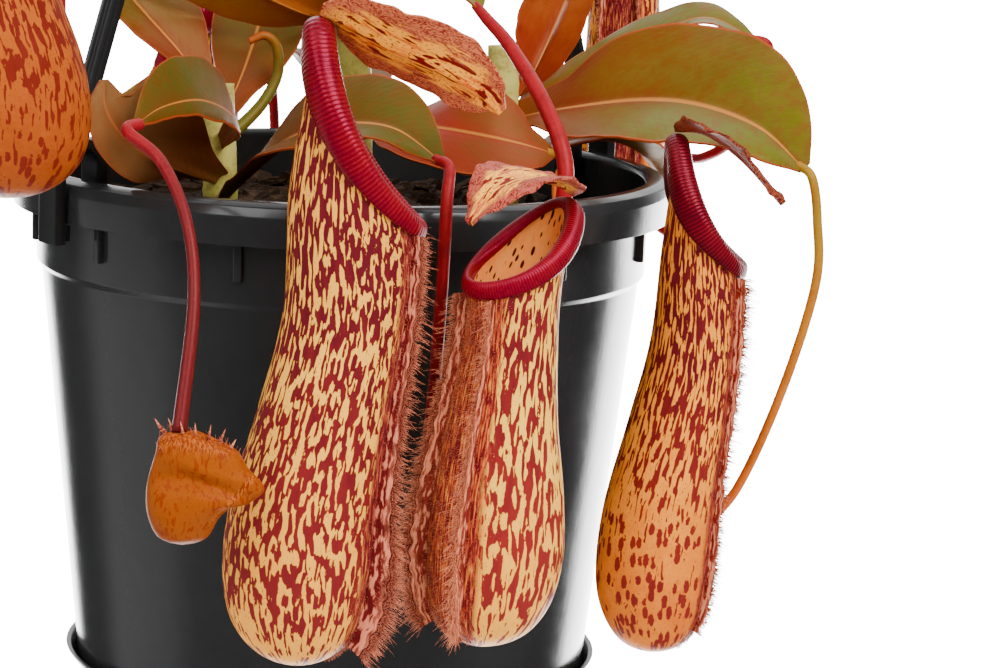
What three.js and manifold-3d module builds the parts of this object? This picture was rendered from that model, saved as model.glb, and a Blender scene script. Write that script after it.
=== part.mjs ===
// Hanging pitcher plant: a tropical pitcher plant in a black plastic hanging pot with a
// clip-on saucer and a two-legged bail. Millimetres, +Z up, origin at the centre of the
// saucer's flat underside; the photographed side of the pot faces -Y.

import * as THREE from 'three';
import * as BufferGeometryUtils from 'three/addons/utils/BufferGeometryUtils.js';
import Module from 'manifold-3d';

const wasm = await Module();
wasm.setup();

// Driving dimensions of the pot
const RIM_RADIUS = 85;
const RIM_TOP = 140;
const BAND_BOTTOM = 129.5;
const COLLAR_RADIUS = 79.2;
const STEP_HEIGHT = 114.2;
const WALL_TOP_RADIUS = 77.5;
const WALL_FOOT_RADIUS = 66.8;
const WALL = 1.6;
const FLOOR = 2.2;
const POT_FOOT = 7.5;
const POT_SIDES = 32;
const LUG_COUNT = 12;
const DRAIN_COUNT = 8;
const DRAIN_RADIUS = 1.8;

// Driving dimensions of the saucer
const SAUCER_HEIGHT = 12.5;
const SAUCER_LIP_RADIUS = 70;
const SAUCER_FOOT_RADIUS = 58;
const SAUCER_WALL = 1.3;

// Driving dimensions of the bail
const BAIL_AZIMUTH = THREE.MathUtils.degToRad(38.5);
const BAIL_APEX = 398;
const STRAP_WIDTH = 8;
const STRAP_THICKNESS = 3;
const CROOK_RADIUS = 15;
const CROOK_CENTRE = 421;
const HOOK_RADIUS = 3.2;

// Driving dimensions of the planting
const BARK_TOP = 126;
const BARK_RADIUS = 75.4;
const STEM_FOOT = 106;
const CLEAR = 0.4;
const LIP_CLEAR = 0.5;
const CUP_WALL = 1.3;
const CUP_SIDES = 14;
const CUP_STEPS = 9;
const BLADE = 0.9;
const LEAF_RIB = 0.8;

const colours = {
  blackPlastic: { color: 0x17191c, roughness: 0.35, metalness: 0 },
  bark: { color: 0x5a3a26, roughness: 0.95, metalness: 0 },
  stem: { color: 0x8a8f3c, roughness: 0.6, metalness: 0 },
  leaf: { color: 0x7f8236, roughness: 0.5, metalness: 0 },
  flushedLeaf: { color: 0xa86a3c, roughness: 0.5, metalness: 0 },
  redTendril: { color: 0xa63a3c, roughness: 0.5, metalness: 0 },
  paleTendril: { color: 0xb08a3a, roughness: 0.5, metalness: 0 },
  creamCup: { color: 0xc98a5c, roughness: 0.5, metalness: 0 },
  orangeCup: { color: 0xc8763c, roughness: 0.5, metalness: 0 },
  crimsonLip: { color: 0x8f1230, roughness: 0.25, metalness: 0 },
  lid: { color: 0xb9603f, roughness: 0.5, metalness: 0 },
};

const vec = (x, y, z) => new THREE.Vector3(x, y, z);

// A smooth value through equally spaced numbers (uniform Catmull-Rom), u from 0 to the
// last index. The first and last numbers are mirrored to give the end slopes.
function smooth(list, u) {
  const last = list.length - 1;
  const i = Math.min(Math.floor(u), last - 1);
  const t = u - i;
  const p1 = list[i];
  const p2 = list[i + 1];
  const p0 = i > 0 ? list[i - 1] : 2 * p1 - p2;
  const p3 = i + 2 <= last ? list[i + 2] : 2 * p2 - p1;
  const a = -p0 + 3 * p1 - 3 * p2 + p3;
  const b = 2 * p0 - 5 * p1 + 4 * p2 - p3;
  return 0.5 * (a * t * t * t + b * t * t + (p2 - p0) * t) + p1;
}

// A point on the smooth path through [x, y, z] rows, s from 0 to 1
function along(rows, s) {
  const u = s * (rows.length - 1);
  return vec(smooth(rows.map((r) => r[0]), u), smooth(rows.map((r) => r[1]), u),
    smooth(rows.map((r) => r[2]), u));
}

// The path's unit direction at s
function direction(rows, s) {
  const step = 0.002;
  const a = along(rows, Math.max(0, s - step));
  const b = along(rows, Math.min(1, s + step));
  return b.sub(a).normalize();
}

// A closed geometry from points and triangles
function solidFrom(points, triangles) {
  const geometry = new THREE.BufferGeometry();
  const flat = points.flatMap((p) => [p.x, p.y, p.z]);
  geometry.setAttribute('position', new THREE.Float32BufferAttribute(flat, 3));
  geometry.setIndex(triangles.flat());
  return geometry;
}

// A skin over rows of points that each run once round the body. It closes round every row;
// the first and last rows are closed by a fan, or joined to each other when ring is true.
function loft(rows, ring = false) {
  const n = rows[0].length;
  const points = rows.flat();
  const triangles = [];
  const bands = ring ? rows.length : rows.length - 1;
  for (let i = 0; i < bands; i += 1) {
    const a = i * n;
    const b = ((i + 1) % rows.length) * n;
    for (let j = 0; j < n; j += 1) {
      const k = (j + 1) % n;
      triangles.push([a + j, a + k, b + k], [a + j, b + k, b + j]);
    }
  }
  if (!ring) {
    const top = (rows.length - 1) * n;
    for (let j = 1; j < n - 1; j += 1) {
      triangles.push([0, j + 1, j], [top, top + j, top + j + 1]);
    }
  }
  return solidFrom(points, triangles);
}

// A body whose first and last rows each shrink to one point
function poleLoft(first, rows, last) {
  const n = rows[0].length;
  const points = [first, ...rows.flat(), last];
  const triangles = [];
  for (let j = 0; j < n; j += 1) {
    const k = (j + 1) % n;
    triangles.push([0, 1 + k, 1 + j]);
    for (let i = 0; i < rows.length - 1; i += 1) {
      const a = 1 + i * n;
      const b = a + n;
      triangles.push([a + j, a + k, b + k], [a + j, b + k, b + j]);
    }
    const a = 1 + (rows.length - 1) * n;
    triangles.push([a + j, a + k, points.length - 1]);
  }
  return solidFrom(points, triangles);
}

// Turns a geometry into a manifold solid, facing outwards
function toManifold(geometry) {
  const bare = geometry.clone();
  bare.deleteAttribute('normal');
  bare.deleteAttribute('uv');
  const merged = BufferGeometryUtils.mergeVertices(bare, 1e-4);
  const mesh = new wasm.Mesh({
    numProp: 3,
    vertProperties: new Float32Array(merged.attributes.position.array),
    triVerts: new Uint32Array(merged.index.array),
  });
  return new wasm.Manifold(mesh);
}

function fromManifold(solid) {
  const mesh = solid.getMesh();
  const geometry = new THREE.BufferGeometry();
  geometry.setAttribute('position', new THREE.Float32BufferAttribute(mesh.vertProperties, 3));
  geometry.setIndex(Array.from(mesh.triVerts));
  return geometry;
}

// The signed volume tells whether the faces point outwards
function outward(geometry) {
  const p = geometry.attributes.position;
  const index = geometry.index.array;
  let volume = 0;
  for (let i = 0; i < index.length; i += 3) {
    const [a, b, c] = [0, 1, 2].map((k) => vec().fromBufferAttribute(p, index[i + k]));
    volume += a.dot(b.cross(c));
  }
  if (volume < 0) {
    for (let i = 0; i < index.length; i += 3) {
      [index[i], index[i + 1]] = [index[i + 1], index[i]];
    }
  }
  return geometry;
}

function piece(name, geometry, finish) {
  geometry.computeVertexNormals();
  const mesh = new THREE.Mesh(geometry, new THREE.MeshStandardMaterial(finish));
  mesh.name = name;
  return mesh;
}

// A round tube along a path, its radius running smoothly through the given radii. The rings
// are carried along without twisting.
function tube(rows, radii, sides, steps) {
  const rings = [];
  let side = null;
  for (let i = 0; i <= steps; i += 1) {
    const s = i / steps;
    const forward = direction(rows, s);
    if (side === null) {
      const helper = Math.abs(forward.z) > 0.9 ? vec(1, 0, 0) : vec(0, 0, 1);
      side = helper.cross(forward).normalize();
    }
    side.addScaledVector(forward, -side.dot(forward)).normalize();
    const other = forward.clone().cross(side);
    const radius = smooth(radii, s * (radii.length - 1));
    const centre = along(rows, s);
    rings.push(Array.from({ length: sides }, (_, j) => {
      const angle = (2 * Math.PI * j) / sides;
      return centre.clone().addScaledVector(side, radius * Math.cos(angle))
        .addScaledVector(other, radius * Math.sin(angle));
    }));
  }
  return outward(loft(rings));
}

// A box between two corners
function block(x0, x1, y0, y1, z0, z1) {
  const box = new THREE.BoxGeometry(x1 - x0, y1 - y0, z1 - z0);
  box.translate((x0 + x1) / 2, (y0 + y1) / 2, (z0 + z1) / 2);
  return box;
}

// A body of revolution from an outline of [radius, height] pairs that starts and ends on
// the axis
function turned(outline, sides) {
  const points = outline.map(([r, z]) => new THREE.Vector2(r, z));
  const lathe = new THREE.LatheGeometry(points, sides);
  lathe.rotateX(Math.PI / 2);
  return fromManifold(toManifold(outward(cleaned(lathe))));
}

// Merges a geometry's doubled points and drops the flat triangles on the axis
function cleaned(geometry) {
  const bare = geometry.clone();
  bare.deleteAttribute('normal');
  bare.deleteAttribute('uv');
  const merged = BufferGeometryUtils.mergeVertices(bare, 1e-4);
  const kept = [];
  const index = merged.index.array;
  for (let i = 0; i < index.length; i += 3) {
    const [a, b, c] = [index[i], index[i + 1], index[i + 2]];
    if (a !== b && b !== c && c !== a) kept.push(a, b, c);
  }
  merged.setIndex(kept);
  return merged;
}

// The pot: a thin tapered wall with a stepped collar, a turned-over rim band and small
// stacking lugs under the band
function makePot() {
  const outline = [
    [0, POT_FOOT],
    [WALL_FOOT_RADIUS - 4, POT_FOOT],
    [WALL_FOOT_RADIUS - 1.8, POT_FOOT + 0.8],
    [WALL_FOOT_RADIUS, POT_FOOT + 3],
    [WALL_TOP_RADIUS, STEP_HEIGHT - 1],
    [COLLAR_RADIUS - 0.3, STEP_HEIGHT + 0.6],
    [COLLAR_RADIUS, BAND_BOTTOM + 4],
    [RIM_RADIUS - 2, BAND_BOTTOM + 4],
    [RIM_RADIUS - 1.8, BAND_BOTTOM],
    [RIM_RADIUS, BAND_BOTTOM],
    [RIM_RADIUS, RIM_TOP - 3.4],
    [RIM_RADIUS - 0.8, RIM_TOP - 1],
    [RIM_RADIUS - 2.8, RIM_TOP],
    [RIM_RADIUS - 5.6, RIM_TOP],
    [RIM_RADIUS - 7, RIM_TOP - 1.4],
    [COLLAR_RADIUS - WALL, STEP_HEIGHT + 1],
    [WALL_TOP_RADIUS - WALL, STEP_HEIGHT - 1.6],
    [WALL_FOOT_RADIUS - 2 * WALL, POT_FOOT + FLOOR],
    [0, POT_FOOT + FLOOR],
  ];
  let pot = toManifold(turned(outline, POT_SIDES));
  for (let i = 0; i < LUG_COUNT; i += 1) {
    const lug = block(COLLAR_RADIUS - 1, COLLAR_RADIUS + 1.4, -1.1, 1.1, STEP_HEIGHT + 6,
      BAND_BOTTOM + 2);
    lug.rotateZ((2 * Math.PI * (i + 0.5)) / LUG_COUNT);
    pot = pot.add(toManifold(lug));
  }
  for (let i = 0; i < DRAIN_COUNT; i += 1) {
    const hole = new THREE.CylinderGeometry(DRAIN_RADIUS, DRAIN_RADIUS, 8, 6);
    hole.rotateX(Math.PI / 2);
    hole.translate(46, 0, POT_FOOT + 1);
    hole.rotateZ((2 * Math.PI * i) / DRAIN_COUNT);
    pot = pot.subtract(toManifold(hole));
  }
  return piece('pot', fromManifold(pot), colours.blackPlastic);
}

// The clip-on saucer: a dish that flares up round the pot's foot, with ribs that carry it
function makeSaucer() {
  const outside = [
    [SAUCER_FOOT_RADIUS, 0],
    [SAUCER_FOOT_RADIUS + 4, 2.2],
    [WALL_FOOT_RADIUS + 0.2, POT_FOOT + 0.8],
    [WALL_FOOT_RADIUS + 1.9, POT_FOOT + 3],
    [SAUCER_LIP_RADIUS, SAUCER_HEIGHT],
  ];
  const inside = outside.slice(1).map(([r, z]) => [r - SAUCER_WALL, z]).toReversed();
  const floor = 1.8;
  const outline = [[0, 0], ...outside, ...inside, [SAUCER_FOOT_RADIUS, floor], [0, floor]];
  let saucer = toManifold(turned(outline, POT_SIDES));
  const ribs = 4;
  for (let i = 0; i < ribs; i += 1) {
    const rib = block(30, 56, -1, 1, floor - 1, POT_FOOT - CLEAR);
    rib.rotateZ((Math.PI * (i + 0.5)) / 2);
    saucer = saucer.add(toManifold(rib));
  }
  return piece('saucer', fromManifold(saucer), colours.blackPlastic);
}

// The bail in its own upright plane: two ribbed straps, a forked clip over the rim at each
// foot, the crown and the open hook
function makeBail() {
  const footZ = RIM_TOP + 9.5;
  const legMiddle = RIM_RADIUS - 3.4;
  const run = vec(6 - legMiddle, 0, BAIL_APEX - footZ);
  const tilt = Math.atan2(run.x, run.z);
  const half = STRAP_WIDTH / 2;
  const section = [
    [-half, 0], [half, 0], [half, STRAP_THICKNESS * 0.6], [1.3, STRAP_THICKNESS * 0.75],
    [1, STRAP_THICKNESS], [-1, STRAP_THICKNESS], [-1.3, STRAP_THICKNESS * 0.75],
    [-half, STRAP_THICKNESS * 0.6],
  ];
  const shape = new THREE.Shape(section.map(([v, t]) => new THREE.Vector2(t, v)));
  const strap = new THREE.ExtrudeGeometry(shape, { depth: run.length(), bevelEnabled: false });
  strap.translate(-STRAP_THICKNESS / 2, 0, 0);
  strap.rotateY(tilt);
  strap.translate(legMiddle, 0, footZ);

  const clipWidth = 8.8;
  const archMiddle = RIM_RADIUS - 3.9;
  const archFoot = RIM_TOP + 3;
  const outside = 7.5;
  const inside = 4.3;
  const arch = new THREE.Shape();
  arch.moveTo(archMiddle + outside, BAND_BOTTOM - 5);
  arch.lineTo(archMiddle + outside, archFoot);
  arch.absarc(archMiddle, archFoot, outside, 0, Math.PI, false);
  arch.lineTo(archMiddle - outside, RIM_TOP - 12);
  arch.lineTo(archMiddle - inside, RIM_TOP - 12);
  arch.lineTo(archMiddle - inside, archFoot);
  arch.absarc(archMiddle, archFoot, inside, Math.PI, 0, true);
  arch.lineTo(archMiddle + inside, BAND_BOTTOM - 5);
  const clip = new THREE.ExtrudeGeometry(arch, { depth: clipWidth, bevelEnabled: false,
    curveSegments: 8 });
  clip.rotateX(Math.PI / 2);
  clip.translate(0, clipWidth / 2, 0);
  const toe = block(RIM_RADIUS - 1.2, RIM_RADIUS + 2, -3.4, 3.4, BAND_BOTTOM - 4.4,
    BAND_BOTTOM - CLEAR);

  let bail = toManifold(strap);
  for (const part of [clip, toe]) bail = bail.add(toManifold(part));
  const other = bail.rotate([0, 0, 180]);
  const crown = block(-9, 9, -half, half, BAIL_APEX - 7, BAIL_APEX + 3);
  const turns = Array.from({ length: 9 }, (_, i) => {
    const angle = THREE.MathUtils.degToRad(-25 + (i * 220) / 8);
    return [CROOK_RADIUS * Math.cos(angle), 0, CROOK_CENTRE + CROOK_RADIUS * Math.sin(angle)];
  });
  const hookPath = [[0, 0, BAIL_APEX], [3, 0, BAIL_APEX + 6], ...turns];
  const hook = tube(hookPath, [HOOK_RADIUS, HOOK_RADIUS, HOOK_RADIUS * 0.8], 8, 26);
  bail = bail.add(other).add(toManifold(crown)).add(toManifold(hook));
  const mesh = piece('bail', fromManifold(bail), colours.blackPlastic);
  mesh.rotation.z = BAIL_AZIMUTH;
  return mesh;
}

// Upright stems: foot and top centres, with the radius at each end
const stems = {
  stem_left: { path: [[-30, -14, STEM_FOOT], [-31, -15, 140], [-32, -14, 161]], radii: [4.6, 4] },
  stem_right: { path: [[42, 4, STEM_FOOT], [41, 3, 140], [40, 4, 172]], radii: [4.4, 4] },
  stem_tall: { path: [[2, 18, STEM_FOOT], [1, 16, 160], [-4, 12, 215], [-10, 6, 262]],
    radii: [5, 4.4, 3.4] },
};

function makeStems() {
  return Object.entries(stems).map(([name, stem]) => (
    piece(name, tube(stem.path, stem.radii, 8, 6), colours.stem)));
}

// A repeatable run of numbers from 0 to 1
function draws(seed) {
  let state = seed;
  return () => {
    state = (state * 16807) % 2147483647;
    return state / 2147483647;
  };
}

// The planting mix: a filled body with a gently uneven top, bark chips standing out of it
// and a plain hole for each stem
function makeBark() {
  const sides = 20;
  const radii = [14, 30, 46, 60, 70, BARK_RADIUS];
  const height = (r, a) => BARK_TOP + 1.6 * Math.sin(r / 9 + 2 * a) * Math.cos(3 * a - r / 17)
    - (r > 69 ? 1.5 : 0);
  const ring = (r, z) => Array.from({ length: sides }, (_, j) => {
    const a = (2 * Math.PI * j) / sides;
    return vec(r * Math.cos(a), r * Math.sin(a), z ?? height(r, a));
  });
  const wallInside = WALL_FOOT_RADIUS - 2 * WALL - 1;
  const floor = POT_FOOT + FLOOR + CLEAR;
  const rows = [ring(wallInside, floor), ring(WALL_TOP_RADIUS - WALL - 1, STEP_HEIGHT - 3),
    ...radii.toReversed().map((r) => ring(r))];
  let bark = toManifold(outward(poleLoft(vec(0, 0, floor), rows, vec(0, 0, BARK_TOP + 1))));
  const next = draws(41);
  const chips = 20;
  for (let i = 0; i < chips; i += 1) {
    const r = 68 * Math.sqrt((i + 0.5) / chips);
    const a = i * 2.39996;
    const long = 11 + 8 * next();
    const chip = block(-long / 2, long / 2, -4, 4, -2, 2);
    chip.rotateX(0.9 * (next() - 0.5));
    chip.rotateY(0.7 * (next() - 0.5));
    chip.rotateZ(Math.PI * next());
    chip.translate(r * Math.cos(a), r * Math.sin(a), height(r, a) + 0.8 + 0.9 * next());
    bark = bark.add(toManifold(chip));
  }
  for (const { path, radii: stemRadii } of Object.values(stems)) {
    const hole = new THREE.CylinderGeometry(stemRadii[0] + 1.2, stemRadii[0] + 1.2, 60, 12);
    hole.rotateX(Math.PI / 2);
    hole.translate(path[0][0] - 0.3, path[0][1], STEM_FOOT - CLEAR + 30);
    bark = bark.subtract(toManifold(hole));
  }
  return piece('bark_mix', fromManifold(bark), colours.bark);
}

// A blade such as a leaf or a lid. The midrib runs along path; face is the way its upper
// side looks, at each knot of the path or once for all; left and right are the half widths
// at equal steps; rise is the angle in degrees by which each half lifts from the plane;
// cup bends the margins further; wave is a small ripple of the margins. The two faces are
// split into triangles alike.
function blade({ path, face, left, right, rise = [0, 0], cup = 0, wave = 0, waves = 3,
  rib = LEAF_RIB, across = 2, steps = 7 }) {
  const faces = Array.isArray(face[0]) ? face : [face, face];
  const top = [];
  const bottom = [];
  for (let i = 0; i <= steps; i += 1) {
    const s = i / steps;
    const forward = direction(path, s);
    const up = along(faces, s);
    up.addScaledVector(forward, -up.dot(forward)).normalize();
    const side = forward.clone().cross(up);
    const centre = along(path, s);
    const topRow = [];
    const bottomRow = [];
    for (let j = -across; j <= across; j += 1) {
      const v = j / across;
      const widths = v < 0 ? left : right;
      const width = smooth(widths, s * (widths.length - 1)) * Math.abs(v);
      const angle = THREE.MathUtils.degToRad(v < 0 ? rise[0] : rise[1]);
      const ripple = wave * v * v * Math.sin(2 * Math.PI * waves * s + (v < 0 ? 1.3 : 0));
      const lift = width * Math.sin(angle) + cup * width * Math.abs(v) + ripple;
      const p = centre.clone()
        .addScaledVector(side, Math.sign(v) * width * Math.cos(angle))
        .addScaledVector(up, lift);
      const under = BLADE / 2 + (j === 0 ? rib : 0);
      topRow.push(p.clone().addScaledVector(up, BLADE / 2));
      bottomRow.push(p.clone().addScaledVector(up, -under));
    }
    top.push(topRow);
    bottom.push(bottomRow);
  }
  return outward(sheet(top, bottom));
}

// A closed plate between two grids of points with the same triangles on both faces
function sheet(top, bottom) {
  const rows = top.length;
  const columns = top[0].length;
  const points = [...top.flat(), ...bottom.flat()];
  const low = rows * columns;
  const triangles = [];
  const at = (i, j) => i * columns + j;
  for (let i = 0; i < rows - 1; i += 1) {
    for (let j = 0; j < columns - 1; j += 1) {
      const [a, b, c, d] = [at(i, j), at(i, j + 1), at(i + 1, j + 1), at(i + 1, j)];
      triangles.push([a, b, c], [a, c, d]);
      triangles.push([low + a, low + c, low + b], [low + a, low + d, low + c]);
    }
  }
  const edge = (a, b) => triangles.push([a, low + b, b], [a, low + a, low + b]);
  for (let i = 0; i < rows - 1; i += 1) {
    edge(at(i + 1, 0), at(i, 0));
    edge(at(i, columns - 1), at(i + 1, columns - 1));
  }
  for (let j = 0; j < columns - 1; j += 1) {
    edge(at(0, j), at(0, j + 1));
    edge(at(rows - 1, j + 1), at(rows - 1, j));
  }
  return solidFrom(points, triangles);
}

// Half widths from petiole to tip of a strap-shaped leaf with the given widest half
const ROOT_SHARE = 0.2;
const leafWidths = (widest) => [ROOT_SHARE, 0.42, 0.8, 1, 1, 0.86, 0.52, 0.09].map((k) => k * widest);

// Leaves: the stem each one grows from and how high, midrib knots from there to the tip,
// the way the upper side looks, the widest half on the left and right of the midrib and
// the lift of each half in degrees
const leaves = {
  leaf_right_large: {
    stem: 'stem_right', height: 153,
    path: [[57, -11, 157.4], [75, -22, 161.2], [89.5, -34, 161.7], [103.5, -48, 158],
      [113.5, -59, 150]],
    face: [[-0.1, -0.3, 1], [-0.1, -0.3, 1], [0.1, -0.3, 1]], wide: [23, 19], rise: [38, -8],
    wave: 0.5,
  },
  leaf_middle: {
    stem: 'stem_tall', height: 146,
    path: [[14, -8, 151], [24, -22, 152.5], [36, -27, 151.5], [46, -26, 149.5],
      [53.7, -22, 147]],
    face: [0, -0.75, 1], wide: [15, 14], rise: [12, 0], wave: 0.4,
  },
  leaf_front: {
    stem: 'stem_left', height: 133,
    path: [[-22, -31, 141], [-11, -45, 151], [2, -55, 156], [15, -66, 156.5], [26.5, -80, 151]],
    face: [[0, -0.4, 1], [0.1, -0.45, 1]], wide: [16, 11], rise: [30, 0], wave: 0.4,
  },
  leaf_looped: {
    stem: 'stem_left', height: 146,
    path: [[-24.9, -36, 152.3], [-27.2, -50, 157.9], [-32.2, -66, 161.5], [-39, -80, 161],
      [-43.9, -92, 158]],
    face: [[0.3, -0.2, 1], [0.25, -0.3, 1]], wide: [3.5, 12], rise: [-50, 48], wave: 0.3,
  },
  leaf_curled: {
    stem: 'stem_left', height: 137,
    path: [[-38.9, -42, 142.6], [-43.8, -60, 147], [-49.2, -72, 152.9], [-53.1, -77, 160.3],
      [-53.5, -77, 167]],
    face: [[-0.2, 0.5, 0.8], [-0.6, 0.75, 0.1], [-0.65, 0.75, 0]], wide: [20, 7], rise: [12, 0],
    finish: 'flushedLeaf',
  },
  leaf_upper_left: {
    stem: 'stem_left', height: 158,
    path: [[-42, -8, 167], [-51, -5, 176], [-59, -5, 184], [-67, -8, 189], [-74, -12, 187]],
    face: [[0.5, -0.75, 0.6], [0.3, -0.7, 0.8]], wide: [9, 15], rise: [15, 15],
  },
  leaf_behind_left: {
    stem: 'stem_left', height: 152,
    path: [[-27, 3, 163], [-24, 14, 175], [-22, 26, 185], [-20, 36, 190]],
    face: [0.1, -0.8, 0.6], wide: [12, 12], rise: [10, 10],
  },
  leaf_top_left: {
    stem: 'stem_tall', height: 176,
    path: [[-14, 0, 180], [-30, -11, 188], [-46, -18, 196], [-58, -22, 201]],
    face: [0, 0.9, 0.5], wide: [13, 13], rise: [8, 8], finish: 'flushedLeaf',
  },
  leaf_long: {
    stem: 'stem_tall', height: 190,
    path: [[10, -4, 195], [20, -20, 194], [28, -32, 190], [34, -40, 184]],
    face: [0.3, -0.2, 1], wide: [11, 11], rise: [15, 15],
  },
  leaf_back_red: {
    stem: 'stem_right', height: 157,
    path: [[47, 14, 164], [51, 18, 172], [55, 20, 182], [59, 21, 192], [63, 22, 199]],
    face: [-0.3, 0.7, 0.5], wide: [11, 11], rise: [8, 8], finish: 'flushedLeaf',
  },
  leaf_back_right: {
    stem: 'stem_right', height: 150,
    path: [[50, 14, 155], [62, 19, 161], [76, 18, 172], [92, 14, 180], [106, 11, 175]],
    face: [0, -0.3, 1], wide: [12, 12], rise: [12, 12],
  },
  leaf_low_right: {
    stem: 'stem_right', height: 142,
    path: [[58, 14, 146], [70, 22, 147], [80, 28, 142], [86, 32, 134]],
    face: [0, 0, 1], wide: [11, 11], rise: [10, 10],
  },
  leaf_low_left: {
    stem: 'stem_left', height: 141,
    path: [[-50, 2, 148], [-66, 14, 150], [-82, 24, 147], [-92, 31, 139]],
    face: [0, 0, 1], wide: [12, 12], rise: [10, 10],
  },
  leaf_back: {
    stem: 'stem_tall', height: 148,
    path: [[0, 38, 157], [-4, 56, 162], [-8, 74, 159], [-10, 88, 150]],
    face: [0, -0.1, 1], wide: [14, 14], rise: [12, 12],
  },
  leaf_back_left: {
    stem: 'stem_tall', height: 168,
    path: [[-9, 40, 179], [-18, 57, 184], [-25, 70, 181], [-29, 79, 174]],
    face: [0, -0.1, 1], wide: [12, 12], rise: [12, 12],
  },
  leaf_back_tall: {
    stem: 'stem_tall', height: 205,
    path: [[9, 34, 218], [21, 53, 229], [38, 68, 233], [54, 76, 229]],
    face: [0.2, -0.4, 1], wide: [12, 12], rise: [12, 12],
  },
  leaf_high_left: {
    stem: 'stem_tall', height: 240,
    path: [[-9, -18, 256], [-17, -42, 267], [-36, -64, 271], [-54, -74, 264]],
    face: [0, -0.2, 1], wide: [12, 12], rise: [12, 12],
  },
  leaf_high_right: {
    stem: 'stem_tall', height: 222,
    path: [[18, 4, 233], [36, -4, 237], [53, -14, 233], [65, -23, 223]],
    face: [0, -0.2, 1], wide: [13, 13], rise: [12, 12],
  },
  leaf_crown: {
    stem: 'stem_tall', height: 256,
    path: [[-2, -3, 268], [4, -14, 280], [9, -26, 286]],
    face: [-0.3, -0.6, 1], wide: [8, 8], rise: [15, 15],
  },
};

// A leaf's midrib knots, with the first one far enough from its stem for the corners of
// the leaf's root to stay just clear of the skin
function midrib({ stem, height, path, face, wide, rise = [0, 0] }) {
  const { path: knots, radii } = stems[stem];
  let share = 0;
  while (along(knots, share).z < height) share += 0.005;
  const axis = along(knots, share);
  const forward = vec(path[0][0] - axis.x, path[0][1] - axis.y, path[0][2] - height).normalize();
  const way = forward.clone().setZ(0).normalize();
  const up = vec(...(Array.isArray(face[0]) ? face[0] : face));
  up.addScaledVector(forward, -up.dot(forward)).normalize();
  const side = forward.clone().cross(up);
  const radius = smooth(radii, share * (radii.length - 1));
  const half = ROOT_SHARE * Math.max(...wide);
  const lift = half * Math.sin(THREE.MathUtils.degToRad(Math.max(...rise)));
  const corner = half * Math.abs(side.dot(way))
    + Math.max(lift, BLADE / 2 + LEAF_RIB) * Math.abs(up.dot(way));
  const root = axis.addScaledVector(way, 0.96 * radius + CLEAR + corner);
  return [[root.x, root.y, height], ...path];
}

function makeLeaves() {
  return Object.entries(leaves).map(([name, leaf]) => {
    const [left, right] = leaf.wide.map(leafWidths);
    const geometry = blade({ ...leaf, path: midrib(leaf), left, right });
    return piece(name, geometry, colours[leaf.finish ?? 'leaf']);
  });
}

// Pitcher outlines in a pitcher's own frame: x towards its winged front, y to its left, z
// up from its lowest point. Each outline has a [x, z] row for each station from the lowest
// point to the mouth; half is the half width and wing a wing's reach at that station.
const forms = {
  tall: {
    back: [[0, 0], [-9.5, 2.8], [-16.2, 10.5], [-18.6, 23], [-16.8, 40], [-10.8, 61],
      [-5.4, 84], [-4.6, 113], [1.4, 147]],
    front: [[0, 0], [9.5, 2.8], [15.8, 10], [18.8, 23], [20, 40], [22.3, 60], [24.6, 77],
      [26.3, 91.5], [26.8, 102.5]],
    half: [0, 9.5, 14.8, 17.2, 17, 15.4, 14, 13.4, 13],
    sag: 5.5, drape: 5,
    wing: [5, 6, 9, 10.2, 7.6, 5.8, 5.4, 5.2, 4.8],
  },
  round: {
    back: [[3, 0], [-7, 2.5], [-13.5, 10], [-15.8, 22], [-14.6, 37], [-11.5, 54],
      [-10.2, 71], [-10.8, 88], [-13.4, 103]],
    front: [[3, 0], [10.5, 3.3], [15, 10], [16.2, 22], [15.8, 36], [14, 51], [12, 64],
      [10.8, 75], [11.4, 85.5]],
    half: [0, 9, 14, 16.3, 15.8, 14.4, 12.8, 11.8, 11.6],
    sag: 2, drape: 1,
    wing: [4, 5, 7, 8.6, 7.6, 6, 5.2, 4.8, 4],
  },
  slim: {
    back: [[0, 0], [-8.4, 2.6], [-13.8, 11], [-15.3, 22], [-13.6, 38], [-8.6, 58], [-4, 78],
      [-2.2, 101], [0.4, 125]],
    front: [[0, 0], [7.8, 2.6], [12.2, 10.5], [13.8, 22], [14.8, 37], [16.4, 55], [17.2, 70],
      [17.4, 83], [17.8, 95.5]],
    half: [0, 8.4, 13, 15, 14.6, 13, 12, 11.6, 11.6],
    sag: 4, drape: 4,
    wing: [2.4, 2.8, 3.4, 4, 3.6, 3.6, 4.4, 5.2, 5.4],
  },
};
const STATIONS = forms.tall.half.length - 1;

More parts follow.
